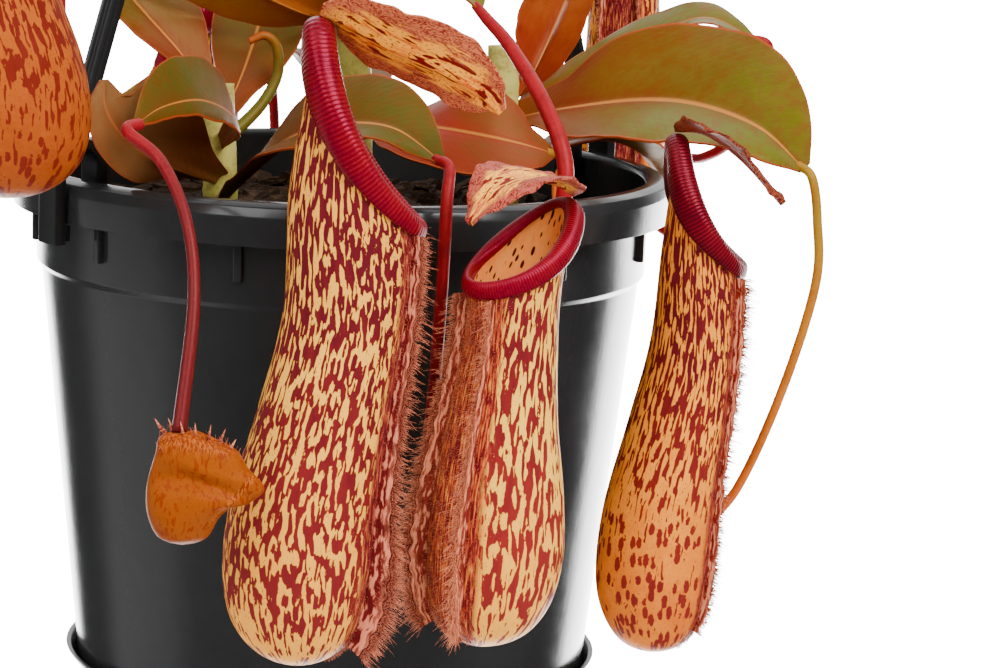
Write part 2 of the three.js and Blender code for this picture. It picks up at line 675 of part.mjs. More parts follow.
// Grown pitchers: form, place of the lowest point, heading of the front in degrees from +X,
// [sideways, upright] size factors, lean to the left per unit of height, and the lid
const pitchers = {
  pitcher_main: {
    form: forms.tall, at: [-2.5, -106, 35.7], heading: 5, size: [0.95, 1], lean: 0,
    cup: 'creamCup',
    lid: {
      path: [[0, 0, 0], [5.5, -1, -2.7], [15, -2, -7.5], [27, -3, -12.5], [36, -4, -17.3],
        [40.5, -4.5, -21.5]],
      face: [[0.3, 0.5, 0.8], [0.36, 0.72, 0.6]], wide: 13.6,
    },
  },
  pitcher_middle: {
    form: forms.round, at: [42, -98, 40], heading: -142, size: [1, 1], lean: 0.056,
    cup: 'creamCup',
    lid: {
      path: [[-1, 0, -0.3], [4, 0.5, 1.6], [14, 2, 3.2], [24, 3.5, 1.2], [32, 4.5, -5.8]],
      face: [0.1, 0.1, 1], wide: 11,
    },
  },
  pitcher_side: {
    form: forms.slim, at: [82.4, -62, 30], heading: 3, size: [0.97, 1], lean: 0,
    cup: 'orangeCup',
    lid: {
      path: [[-0.5, 0, 0], [6, -3, -1], [15, -7, -7], [24, -12, -16.5]],
      face: [0.5, 0.05, 0.85], wide: 9,
    },
  },
  pitcher_high: {
    form: forms.tall, at: [-72, -100, 141.5], heading: -160, size: [1.02, 0.78], lean: 0,
    cup: 'orangeCup',
    lid: {
      path: [[0, 0, 0], [10, 0, 4], [21, 0, 3], [32, 0, -3]], face: [0, 0, 1], wide: 12,
    },
  },
  pitcher_behind: {
    form: forms.slim, at: [74.5, 86, 111], heading: -100, size: [0.84, 0.9], lean: 0,
    cup: 'orangeCup',
    lid: {
      path: [[0, 0, 0], [8, 0, 3], [17, 0, 1], [26, 0, -5]], face: [0, 0, 1], wide: 9,
    },
  },
  pitcher_rear: {
    form: forms.slim, at: [-45, 94, 46], heading: 110, size: [1, 1], lean: 0,
    cup: 'creamCup',
    lid: {
      path: [[0, 0, 0], [8, 0, 3], [18, 0, 1], [28, 0, -6]], face: [0, 0, 1], wide: 10,
    },
  },
};

// A point of a cup's outer skin: station u from 0 at the lowest point to the mouth, angle
// 0 at the front and a quarter turn at the left
function cupPoint({ form, size, lean }, u, angle) {
  const { back, front, half, sag } = form;
  const backX = smooth([front[1][0], ...back.map((r) => r[0])], u + 1);
  const backZ = smooth([front[1][1], ...back.map((r) => r[1])], u + 1);
  const frontX = smooth([back[1][0], ...front.map((r) => r[0])], u + 1);
  const frontZ = smooth([back[1][1], ...front.map((r) => r[1])], u + 1);
  const width = smooth([-half[1], ...half], u + 1);
  const c = Math.cos(angle);
  const dip = sag * Math.max(0, (u - STATIONS + 2) / 2) ** 2 * (1 - c * c);
  const slope = Math.hypot(frontX - backX, frontZ - backZ) + 1e-9;
  const narrow = 1 - 0.25 * ((1 - c) / 2) ** 2 * Math.max(0, (u - STATIONS + 2) / 2);
  const x = (frontX + backX) / 2 + (c * (frontX - backX)) / 2 + (dip * (frontZ - backZ)) / slope;
  const z = (frontZ + backZ) / 2 + (c * (frontZ - backZ)) / 2 - (dip * (frontX - backX)) / slope;
  const y = Math.sin(angle) * width * narrow;
  return vec(x * size[0], y * size[0] + lean * z * size[1], z * size[1]);
}

// The skin's outward normal and the way it runs up, at a station and angle
function cupFrame(pitcher, u, angle) {
  const step = 0.01;
  const low = Math.min(u, STATIONS - step);
  const up = cupPoint(pitcher, low + step, angle).sub(cupPoint(pitcher, low - step, angle));
  const round = cupPoint(pitcher, u, angle + step).sub(cupPoint(pitcher, u, angle - step));
  up.normalize();
  const out = round.cross(up).normalize();
  return { up, out };
}

// The mouth's edge at one corner of the skin, with the way up the wall square to the edge
// and the outward normal. standOff gives how far outwards a point some way below the edge
// must be to clear the flat facets round the corner.
function mouthFrame(pitcher, j) {
  const corner = (u, k) => cupPoint(pitcher, u, (2 * Math.PI * k) / CUP_SIDES);
  const below = STATIONS * (1 - 1 / CUP_STEPS);
  const edge = corner(STATIONS, j);
  const round = corner(STATIONS, j + 1).sub(corner(STATIONS, j - 1)).normalize();
  const up = edge.clone().sub(corner(below, j));
  up.addScaledVector(round, -up.dot(round)).normalize();
  const out = round.clone().cross(up).normalize();
  const facets = [
    [corner(below, j - 1), edge, corner(STATIONS, j - 1)],
    [corner(below, j - 1), corner(below, j), edge],
    [corner(below, j), corner(STATIONS, j + 1), edge],
  ];
  const standOff = (drop, gap) => Math.max(...facets.map(([a, b, c]) => {
    const normal = new THREE.Triangle(a, b, c).getNormal(vec());
    if (normal.dot(out) < 0) normal.negate();
    const point = edge.clone().addScaledVector(up, -drop);
    return (gap - point.sub(b).dot(normal)) / normal.dot(out);
  }));
  return { edge, up, out, standOff };
}

function placed(group, pitcher) {
  group.position.set(...pitcher.at);
  group.rotation.z = THREE.MathUtils.degToRad(pitcher.heading);
  return group;
}

// One toothed wing down the front of a cup, on one column of the skin's corners. It sits
// in the wall and stands out square to it.
function wing(pitcher, column) {
  const angle = (2 * Math.PI * column) / CUP_SIDES;
  const samples = 11;
  const from = 1.6;
  const to = STATIONS - 0.3;
  const stationOf = (i) => (STATIONS * i) / CUP_STEPS;
  const rows = [];
  for (let i = 0; i < samples; i += 1) {
    const u = from + ((to - from) * i) / (samples - 1);
    const cell = (u / STATIONS) * CUP_STEPS;
    const k = Math.min(Math.floor(cell), CUP_STEPS - 1);
    const root = cupPoint(pitcher, stationOf(k), angle)
      .lerp(cupPoint(pitcher, stationOf(k + 1), angle), cell - k);
    const { up, out } = cupFrame(pitcher, u, angle);
    const across = up.clone().cross(out).multiplyScalar(BLADE / 2);
    const reach = smooth(pitcher.form.wing, u) * (i % 2 ? 1 : 0.85);
    const inner = root.clone().addScaledVector(out, -0.55 * CUP_WALL);
    const outer = root.clone().addScaledVector(out, reach);
    rows.push([inner.clone().sub(across), inner.clone().add(across),
      outer.clone().add(across), outer.clone().sub(across)]);
  }
  return outward(loft(rows));
}

// The cup: a thin wall open at the mouth, closed at the foot, with its two wings
function makeCup(name, pitcher) {
  const outer = [];
  const inner = [];
  for (let i = 1; i <= CUP_STEPS; i += 1) {
    const u = (STATIONS * i) / CUP_STEPS;
    const row = [];
    const inside = [];
    for (let j = 0; j < CUP_SIDES; j += 1) {
      const angle = (2 * Math.PI * j) / CUP_SIDES;
      const p = cupPoint(pitcher, u, angle);
      row.push(p);
      const { out } = i === CUP_STEPS ? mouthFrame(pitcher, j) : cupFrame(pitcher, u, angle);
      inside.push(p.clone().addScaledVector(out, -CUP_WALL));
    }
    outer.push(row);
    inner.unshift(inside);
  }
  const foot = cupPoint(pitcher, 0, 0);
  const shell = outward(poleLoft(foot, [...outer, ...inner],
    foot.clone().add(vec(0, 0, CUP_WALL))));
  const cup = toManifold(shell).add(toManifold(wing(pitcher, 1)))
    .add(toManifold(wing(pitcher, CUP_SIDES - 1)));
  return piece(`${name}_cup`, fromManifold(cup), colours[pitcher.cup]);
}

// The rolled, ribbed lip that straddles the mouth's edge and drapes down outside it,
// furthest at the back. Corners are [outwards, upwards] from the edge of the wall; every
// second rib stands a little proud.
function makeLip(name, pitcher) {
  const roof = 0.9;
  const corners = Array.from({ length: CUP_SIDES }, (_, j) => {
    const { edge, up, out, standOff } = mouthFrame(pitcher, j);
    const back = (1 - Math.cos((2 * Math.PI * j) / CUP_SIDES)) / 2;
    const drape = 1.4 + pitcher.form.drape * back;
    const broad = 0.85 + 0.25 * back;
    return [[standOff(0, LIP_CLEAR), roof], [standOff(drape, LIP_CLEAR), -drape],
      [3.9 * broad, -0.5], [2.6 * broad, 2.4], [-0.8, 3.2], [-3.8, 1.2], [-2, roof]]
      .map(([x, y]) => edge.clone().addScaledVector(out, x).addScaledVector(up, y));
  });
  const rows = corners.flatMap((row, j) => {
    const next = corners[(j + 1) % CUP_SIDES];
    const groove = row.map((p, n) => p.clone().lerp(next[n], 0.5));
    const proud = row.map((p, n) => (n > 1 && n < 6
      ? p.clone().addScaledVector(p.clone().sub(row[0]), 0.1) : p));
    return [proud, groove];
  });
  return piece(`${name}_lip`, outward(loft(rows, true)), colours.crimsonLip);
}

// The lid: a small keeled blade rising from the back of the lip over the mouth
function makeLid(name, pitcher) {
  const { up } = cupFrame(pitcher, STATIONS, Math.PI);
  const root = cupPoint(pitcher, STATIONS, Math.PI).addScaledVector(up, 4.8);
  const { path, face, wide } = pitcher.lid;
  const widths = [0.22, 0.62, 0.95, 1, 0.86, 0.55, 0.12].map((k) => k * wide);
  const geometry = blade({
    path: path.map(([x, y, z]) => [root.x + x, root.y + y, root.z + z]),
    face, left: widths, right: widths, rise: [8, 8], wave: 0.8, waves: 2, rib: 0.5,
  });
  return piece(`${name}_lid`, geometry, colours.lid);
}

function makePitchers() {
  return Object.entries(pitchers).map(([name, pitcher]) => {
    const group = new THREE.Group();
    group.add(makeCup(name, pitcher), makeLip(name, pitcher), makeLid(name, pitcher));
    return placed(group, pitcher);
  });
}

// A small closed pitcher: a bulb with a beak to its right and a comb of teeth on its crown
function makeYoungPitcher() {
  const stations = [
    { z: 2, left: -5, right: 6, half: 5 },
    { z: 7, left: -7.4, right: 9, half: 7.2 },
    { z: 12, left: -7.8, right: 14.5, half: 7 },
    { z: 16, left: -7.2, right: 18.6, half: 4.6 },
    { z: 20.5, left: -6, right: 15, half: 5.4 },
    { z: 25, left: -4.6, right: 11.5, half: 4 },
  ];
  const sides = 10;
  const rows = stations.map(({ z, left, right, half }) => (
    Array.from({ length: sides }, (_, j) => {
      const a = (2 * Math.PI * j) / sides;
      return vec((left + right) / 2 + ((right - left) / 2) * Math.cos(a), half * Math.sin(a),
        z - 2.5 * Math.max(0, Math.cos(a)) * (z > 11 ? 1 : 0));
    })));
  let body = toManifold(outward(poleLoft(vec(0.5, 0, 0), rows, vec(3, 0, 26))));
  const teeth = 6;
  for (let i = 0; i < teeth; i += 1) {
    const tooth = new THREE.ConeGeometry(1.1, 6, 4);
    tooth.rotateX(Math.PI / 2);
    tooth.rotateY(THREE.MathUtils.degToRad(-40 + 14 * i));
    tooth.translate(-4 + 2.6 * i, (i % 2 ? 1.5 : -1.5), 26 - 0.35 * i);
    body = body.add(toManifold(tooth));
  }
  const mesh = piece('pitcher_young', fromManifold(body), colours.orangeCup);
  mesh.position.set(-27.9, -128, 68.3);
  return mesh;
}

// Tendrils: the leaf each one hangs from, knots on its way down, and where it grows into a
// pitcher's foot (station and angle) or the knot where it ends free
const tendrils = {
  tendril_main: {
    leaf: 'leaf_front', via: [[28.5, -88, 143], [28, -93, 120], [26.5, -93, 90], [24, -86, 65]],
    foot: ['pitcher_main', 1.5, 62], radii: [1.7, 1.5, 1.5, 1.9], finish: 'redTendril',
  },
  tendril_middle: {
    leaf: 'leaf_long', via: [[42, -50, 176], [51, -64, 163], [56, -73, 150], [54.5, -75, 134],
      [50, -77, 110], [48.5, -78, 88], [48, -78.5, 72]],
    foot: ['pitcher_middle', 1.8, 215], radii: [1.6, 2, 2, 2], finish: 'redTendril',
  },
  tendril_side: {
    leaf: 'leaf_right_large', via: [[117.5, -60, 138], [118, -59, 122], [111.5, -56, 95],
      [102.5, -49, 69], [93, -43, 54]],
    foot: ['pitcher_side', 1.5, 80], radii: [1.5, 1.2, 1.2, 1.6], finish: 'paleTendril',
  },
  tendril_high: {
    leaf: 'leaf_high_left', via: [[-61, -74, 250], [-63, -75, 220], [-64, -75, 185],
      [-64, -74, 165]],
    foot: ['pitcher_high', 1.8, -90], radii: [1.6, 1.5, 1.5, 1.9], finish: 'redTendril',
  },
  tendril_behind: {
    leaf: 'leaf_back_right', via: [[110, 20, 163], [104, 38, 147], [96, 46, 140], [90, 58, 138],
      [93, 76, 131]],
    foot: ['pitcher_behind', 1.6, 90], radii: [1.6, 1.4, 1.4, 1.8], finish: 'redTendril',
  },
  tendril_rear: {
    leaf: 'leaf_back_left', via: [[-28, 86, 164], [-25, 89, 140], [-25, 91, 100], [-29, 93, 62]],
    foot: ['pitcher_rear', 0.9, -90], radii: [1.6, 1.4, 1.4, 1.8], finish: 'redTendril',
  },
  tendril_young: {
    leaf: 'leaf_looped', via: [[-37, -99, 151], [-30, -108, 139], [-27, -117, 122]],
    end: [-28.6, -128, 96.2], radii: [1.7, 1.9, 2, 2], finish: 'redTendril',
  },
  tendril_bud: {
    leaf: 'leaf_middle', via: [[56, -26, 140]], end: [55, -37, 133.5],
    radii: [1.3, 1.3, 2.4, 0.8], finish: 'paleTendril',
  },
};

function makeTendrils() {
  return Object.entries(tendrils).map(([name, tendril]) => {
    const path = midrib(leaves[tendril.leaf]);
    const forward = direction(path, 1);
    const tip = along(path, 1);
    const knots = [tip.clone().addScaledVector(forward, CLEAR),
      tip.clone().addScaledVector(forward, 3.5), ...tendril.via.map((k) => vec(...k))];
    if (tendril.foot) {
      const [pitcherName, station, degrees] = tendril.foot;
      const pitcher = pitchers[pitcherName];
      const angle = THREE.MathUtils.degToRad(degrees);
      const turn = new THREE.Euler(0, 0, THREE.MathUtils.degToRad(pitcher.heading));
      const skin = cupPoint(pitcher, station, angle).applyEuler(turn).add(vec(...pitcher.at));
      const out = cupFrame(pitcher, station, angle).out.applyEuler(turn);
      knots.push(skin.clone().addScaledVector(out, 7), skin.addScaledVector(out, CLEAR));
    } else {
      knots.push(vec(...tendril.end));
    }
    const steps = 2 * (knots.length - 1) + 1;
    return piece(name, tube(knots.map((k) => k.toArray()), tendril.radii, 6, steps),
      colours[tendril.finish]);
  });
}

// A hooked young shoot at the left stem
function makeShoot() {
  const path = [[-26.4, -12.2, 150], [-21, -8, 156], [-17.7, -5, 163], [-18, -5, 170],
    [-21, -6, 173], [-25, -7, 171.5]];
  return piece('shoot', tube(path, [1.8, 1.5, 1.3], 6, 12), colours.paleTendril);
}

const plant = new THREE.Group();
plant.add(makePot(), makeSaucer(), makeBail(), makeBark(), ...makeStems(), ...makeLeaves(),
  ...makePitchers(), makeYoungPitcher(), ...makeTendrils(), makeShoot());
export default plant;
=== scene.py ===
"""Hanging pitcher plant: the dressed model, its studio and its camera.

Sizes in the tables are millimetres in the frame of the CAD model: +Z up, the photographed
side towards -Y, origin under the saucer. Meshes are written in metres.
"""

import logging
import math
from dataclasses import dataclass, field
from enum import Enum
from typing import Callable, Optional, Sequence, Union

import bpy
import numpy as np
from mathutils import Matrix, Vector

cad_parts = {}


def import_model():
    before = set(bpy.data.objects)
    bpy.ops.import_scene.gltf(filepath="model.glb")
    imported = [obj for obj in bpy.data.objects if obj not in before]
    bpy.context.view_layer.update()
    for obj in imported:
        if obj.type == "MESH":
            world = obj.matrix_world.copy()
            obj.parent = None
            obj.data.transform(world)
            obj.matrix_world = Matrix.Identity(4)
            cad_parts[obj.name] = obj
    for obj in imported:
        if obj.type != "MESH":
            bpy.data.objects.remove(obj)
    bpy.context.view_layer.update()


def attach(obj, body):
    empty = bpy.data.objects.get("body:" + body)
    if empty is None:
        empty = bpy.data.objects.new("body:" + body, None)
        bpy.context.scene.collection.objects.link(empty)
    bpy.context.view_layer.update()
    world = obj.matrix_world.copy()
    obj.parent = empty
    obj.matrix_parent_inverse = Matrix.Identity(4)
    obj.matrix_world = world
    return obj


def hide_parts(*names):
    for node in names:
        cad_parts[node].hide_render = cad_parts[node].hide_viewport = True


LOG = logging.getLogger("pitcher_plant")
MM = 0.001
TURN = 2.0 * math.pi
STATIONS = 8  # the mouth's station; the foot's is 0
WING = TURN / 14  # from a cup's front to a wing
CUP_WALL = 1.3
BLADE = 0.9  # thickness of leaves and lids
CLEAR = 0.4  # gap between parts that nearly touch
GOLDEN_ANGLE = 2.39996
WHITE_GLOW = 18.0  # light of what is burnt out to white in view
Array = np.ndarray
Rows = Sequence[Sequence[float]]
Colour = tuple[float, float, float]
Value = Union["Wire", float, Colour]  # what an input of a node can be given


# ---------------------------------------------------------------- numbers and skins


def bend(p0: Array, p1: Array, p2: Array, p3: Array, t: Array) -> Array:
    """Uniform Catmull-Rom from p1 at t = 0 to p2 at 1: half of (a t^3 + b t^2 + c t), plus p1.

    The factors a, b and c come from all four points.
    """
    a = -p0 + 3 * p1 - 3 * p2 + p3
    b = 2 * p0 - 5 * p1 + 4 * p2 - p3
    return 0.5 * (a * t**3 + b * t**2 + (p2 - p0) * t) + p1


def smooth(rows: Rows, u: Array) -> Array:
    """Reads a smooth path through evenly spaced rows of numbers.

    The end rows are mirrored to give the end slopes.

    Args:
        rows: the numbers, one row for each whole u.
        u: places from 0 to the last index, any shape.

    Returns:
        The values, in the shape of u with the row's length added.
    """
    table = np.asarray(rows, dtype=float)
    last = len(table) - 1
    u = np.clip(np.asarray(u, dtype=float), 0.0, last)
    i = np.minimum(np.floor(u).astype(int), last - 1)
    padded = np.vstack([2 * table[0] - table[1], table, 2 * table[-1] - table[-2]])
    return bend(*(padded[i + k] for k in range(4)), (u - i)[..., None])


def smooth_one(values: Sequence[float], u: Array) -> Array:
    """The same smooth path through single numbers; returns an array shaped like u."""
    return smooth([[v] for v in values], u)[..., 0]


def along(rows: Rows, s: Array) -> Array:
    """Points of the smooth path at shares s of its length, from 0 to 1."""
    return smooth(rows, np.asarray(s, dtype=float) * (len(rows) - 1))


def unit(v: Array) -> Array:
    """The vectors scaled to length one."""
    return v / np.maximum(np.linalg.norm(v, axis=-1, keepdims=True), 1e-12)


def heading_of(rows: Rows, s: Array) -> Array:
    """Unit directions of the path at shares s, from a short chord."""
    s = np.asarray(s, dtype=float)
    ahead = along(rows, np.minimum(1.0, s + 0.002))
    return unit(ahead - along(rows, np.maximum(0.0, s - 0.002)))


def dot(a: Array, b: Array) -> Array:
    """Row by row dot product, with the last axis kept for scaling."""
    return np.sum(a * b, axis=-1, keepdims=True)


def ramp(low: float, high: float, x: Array) -> Array:
    """A smooth step from 0 at low to 1 at high: 3 t^2 - 2 t^3."""
    t = np.clip((x - low) / (high - low), 0.0, 1.0)
    return t * t * (3 - 2 * t)


def hump(x: Array, width: float) -> Array:
    """A bell that is 1 at x = 0 and falls off within the width."""
    return np.exp(-((x / width) ** 2))


def circle(count: int) -> Array:
    """Evenly spaced angles once round."""
    return np.linspace(0, TURN, count, endpoint=False)


def stacked(*parts: Array) -> Array:
    """Arrays stretched to one shape and stacked along a new last axis."""
    return np.stack(np.broadcast_arrays(*parts), -1)


def lengths_along(points: Array) -> Array:
    """The length of a line of points up to each of them."""
    return np.concatenate([[0.0], np.cumsum(np.linalg.norm(np.diff(points, axis=0), axis=1))])


def turned_about_z(p: Array, degrees: float) -> Array:
    """Points turned about the upright axis."""
    c, s = math.cos(math.radians(degrees)), math.sin(math.radians(degrees))
    return p @ np.array([[c, s, 0.0], [-s, c, 0.0], [0.0, 0.0, 1.0]])


@dataclass
class Skin:
    """A skin in millimetres: points, polygons, the number of their finish, and marks.

    Marks are named three-number values on the points that the materials read.
    """

    points: Array
    faces: list[Array]
    finish: int = 0
    marks: dict[str, Array] = field(default_factory=dict)

    def outward(self) -> "Skin":
        """Turns every polygon round if the closed skin's signed volume is negative."""
        volume = 0.0
        for block in self.faces:
            a = self.points[block[:, 0]]
            for k in range(1, block.shape[1] - 1):
                b, c = self.points[block[:, k]], self.points[block[:, k + 1]]
                volume += float(np.sum(a * np.cross(b, c)))
        if volume < 0:
            self.faces = [block[:, ::-1] for block in self.faces]
        return self

    def turned(self, degrees: float) -> "Skin":
        """Turns the skin about the upright axis."""
        self.points = turned_about_z(self.points, degrees)
        return self


def grid_faces(rows: int, columns: int, round_: bool = False, ring: bool = False) -> Array:
    """Four-sided faces of a grid of points numbered row by row.

    Args:
        rows: how many rows of points.
        columns: how many points in a row.
        round_: each row closes on itself.
        ring: the last row joins the first.

    Returns:
        One line of four point numbers for each face.
    """
    i = np.arange(rows if ring else rows - 1)[:, None]
    j = np.arange(columns if round_ else columns - 1)[None, :]
    k, n = (j + 1) % columns, (i + 1) % rows
    cells = stacked(i * columns + j, i * columns + k, n * columns + k, n * columns + j)
    return cells.reshape(-1, 4)


def lofted(rows: Array, marks: Optional[dict[str, Array]] = None, ring: bool = False,
           finish: int = 0) -> Skin:
    """A closed skin over rows that each run once round the body.

    Args:
        rows: points as (row, place round, xyz).
        marks: named values in the same layout.
        ring: join the last row to the first; otherwise both ends get a centre point.
        finish: the finish number.

    Returns:
        The skin, facing outwards.
    """
    count, columns = rows.shape[:2]
    faces = [grid_faces(count, columns, round_=True, ring=ring)]
    points = rows.reshape(-1, 3)
    flat = {name: value.reshape(-1, 3) for name, value in (marks or {}).items()}
    if not ring:
        j = np.arange(columns)
        k = (j + 1) % columns
        top = (count - 1) * columns
        faces.append(stacked(len(points), k, j))
        faces.append(stacked(len(points) + 1, top + j, top + k))
        points = np.vstack([points, rows[0].mean(0), rows[-1].mean(0)])
        flat = {name: np.vstack([v, v[:columns].mean(0), v[top:top + columns].mean(0)])
                for name, v in flat.items()}
    return Skin(points, faces, finish, flat).outward()


def tube(rows: Rows, radii: Sequence[float], sides: int, steps: int) -> Skin:
    """A round tube: circles carried along a path without twisting.

    Each ring's side vector is the last one with its part along the path taken out, and a
    point is centre + radius (side cos a + other sin a). The mark "run" holds the share of
    the length, the place round and the length in millimetres.

    Args:
        rows: knots of the path.
        radii: radius at even shares of the length.
        sides: points in a ring.
        steps: rings less one.

    Returns:
        The closed tube.
    """
    s = np.linspace(0, 1, steps + 1)
    centre, forward = along(rows, s), heading_of(rows, s)
    helper = np.array([1.0, 0, 0]) if abs(forward[0, 2]) > 0.9 else np.array([0, 0, 1.0])
    side = np.cross(helper, forward[0])
    sides_at = []
    for way in forward:
        side = side - way * np.dot(side, way)
        side = side / np.linalg.norm(side)
        sides_at.append(side)
    across = np.array(sides_at)
    other = np.cross(forward, across)
    radius = smooth_one(radii, s * (len(radii) - 1))[:, None, None]
    a = circle(sides)[None, :, None]
    rings = centre[:, None] + radius * (across[:, None] * np.cos(a) + other[:, None] * np.sin(a))
    run = stacked(s[:, None], a[..., 0] / TURN, lengths_along(centre)[:, None])
    return lofted(rings, {"run": run})


def plate(top: Array, bottom: Array, marks: dict[str, tuple[Array, Array]],
          finishes: tuple[int, int]) -> list[Skin]:
    """A closed thin plate: an upper grid, a lower grid and the edge between them.

    Args:
        top: upper points as (row, column, xyz).
        bottom: lower points in the same layout.
        marks: named values of the upper and of the lower grid.
        finishes: finish numbers of the upper and the lower face.

    Returns:
        The upper face with the edge, and the lower face, which share their rim's places.
    """
    rows, columns = top.shape[:2]
    cells = grid_faces(rows, columns)
    count = rows * columns
    numbers = np.arange(count).reshape(rows, columns)
    rim = np.concatenate([numbers[0], numbers[1:, -1], numbers[-1, -2::-1], numbers[-2:0:-1, 0]])
    after = np.roll(rim, -1)
    edge = np.stack([rim, rim + count, after + count, after], -1)
    points = np.vstack([top.reshape(-1, 3), bottom.reshape(-1, 3)])
    flat = {name: np.vstack([v.reshape(-1, 3) for v in pair]) for name, pair in marks.items()}
    whole = Skin(points, [cells, edge, cells[:, ::-1] + count]).outward()
    return [Skin(points, whole.faces[:2], finishes[0], flat),
            Skin(points, whole.faces[2:], finishes[1], flat)]


def spikes(roots: Array, ways: Array, lengths: Array, radii: Array,
           droop: Union[Array, float] = 0.0) -> Skin:
    """Fine three-sided hairs, each a base ring, a middle ring and a point.

    The middle ring stands at half the length and the point at the whole length, moved by
    droop. All hairs are computed together.

    Args:
        roots: base centres.
        ways: unit directions.
        lengths: hair lengths.
        radii: base radii.
        droop: how far each tip is moved, as vectors.

    Returns:
        All the hairs as one skin of finish 1, with the mark "run" holding the share of the
        length.
    """
    helper = np.where(np.abs(ways[:, 2:]) > 0.9, [[1.0, 0, 0]], [[0, 0, 1.0]])
    side = unit(np.cross(helper, ways))
    other = np.cross(ways, side)
    a = np.arange(3) * TURN / 3
    ring = side[:, None] * np.cos(a)[None, :, None] + other[:, None] * np.sin(a)[None, :, None]
    ring = ring * radii[:, None, None]
    middle = (roots + ways * lengths[:, None] * 0.5 + droop * 0.25)[:, None] + ring * 0.6
    tip = (roots + ways * lengths[:, None] + droop)[:, None]
    points = np.concatenate([roots[:, None] + ring, middle, tip], 1)
    start = (np.arange(len(roots)) * 7)[:, None, None]
    quad = np.array([[0, 1, 4, 3], [1, 2, 5, 4], [2, 0, 3, 5]])
    point = np.array([[3, 4, 6], [4, 5, 6], [5, 3, 6], [2, 1, 0]])
    run = np.zeros(points.shape)
    run[..., 0] = [0, 0, 0, 0.5, 0.5, 0.5, 1.0]
    faces = [(start + quad).reshape(-1, 4), (start + point).reshape(-1, 3)]
    return Skin(points.reshape(-1, 3), faces, 1, {"run": run.reshape(-1, 3)})


def add_piece(node: str, skins: Sequence[Skin], finishes: Sequence[str],
              sharp: float = 180.0, name: Optional[str] = None) -> None:
    """Makes one object from skins, in metres, riding on the plant in place of a CAD node.

    Args:
        node: the CAD node that the piece stands for.
        skins: the skins, whose finish numbers pick from the finishes.
        finishes: names of the piece's materials.
        sharp: edges that turn more than this many degrees stay sharp.
        name: the object's name, if it isn't the node's with "_fine" after it.
    """
    name = name or f"{node}_fine"
    keys = sorted({key for skin in skins for key in skin.marks})
    points, faces, numbers, start = [], [], [], 0
    marks: dict[str, list[Array]] = {key: [] for key in keys}
    for skin in skins:
        points.append(skin.points)
        for block in skin.faces:
            faces.extend((block + start).tolist())
            numbers.append(np.full(len(block), skin.finish))
        for key in keys:
            marks[key].append(skin.marks.get(key, np.zeros((len(skin.points), 3))))
        start += len(skin.points)
    mesh = bpy.data.meshes.new(name)
    mesh.from_pydata((np.vstack(points) * MM).tolist(), [], faces)
    for finish in finishes:
        mesh.materials.append(bpy.data.materials[finish])
    mesh.polygons.foreach_set("material_index", np.concatenate(numbers).astype(np.int32))
    for key in keys:
        data = mesh.attributes.new(key, "FLOAT_VECTOR", "POINT").data
        data.foreach_set("vector", np.vstack(marks[key]).astype(np.float32).ravel())
    mesh.shade_smooth()
    if sharp < 180.0:
        mesh.set_sharp_from_angle(angle=math.radians(sharp))
    mesh.update()
    piece = bpy.data.objects.new(name, mesh)
    bpy.context.scene.collection.objects.link(piece)
    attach(piece, "root")
    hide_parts(node)
    LOG.info("%s: %d faces", name, len(faces))


# ---------------------------------------------------------------- materials


@dataclass(frozen=True)
class Wire:
    """An output of a node; sums with it add Math nodes to its graph."""

    graph: "Graph"
    socket: bpy.types.NodeSocket

    def __add__(self, other: Value) -> "Wire":
        """The sum."""
        return self.graph.math("ADD", self, other)

    def __mul__(self, other: Value) -> "Wire":
        """The product."""
        return self.graph.math("MULTIPLY", self, other)

    def __sub__(self, other: Value) -> "Wire":
        """This value less the other."""
        return self.graph.math("SUBTRACT", self, other)

    def __rsub__(self, other: float) -> "Wire":
        """A number less this value."""
        return self.graph.math("SUBTRACT", other, self)

    def __abs__(self) -> "Wire":
        """The value without its sign."""
        return self.graph.math("ABSOLUTE", self)

    def step(self, low: float, high: float) -> "Wire":
        """A smooth step of the value from 0 at low to 1 at high."""
        return self.graph.add("ShaderNodeMapRange", "Result",
                              {"Value": self, "From Min": low, "From Max": high},
                              interpolation_type="SMOOTHSTEP")

    def fall(self, low: float, high: float) -> "Wire":
        """A smooth step of the value from 1 at low to 0 at high."""
        return 1.0 - self.step(low, high)

    def band(self, rise: tuple[float, float], end: tuple[float, float]) -> "Wire":
        """1 within a range of the value, with a smooth rise before it and a fall after it."""
        return self.step(*rise) * self.fall(*end)

    def towards(self, colour: Value, share: Value) -> "Wire":
        """This colour at share 0 and the given colour at share 1."""
        return self.graph.mix(share, self, colour)


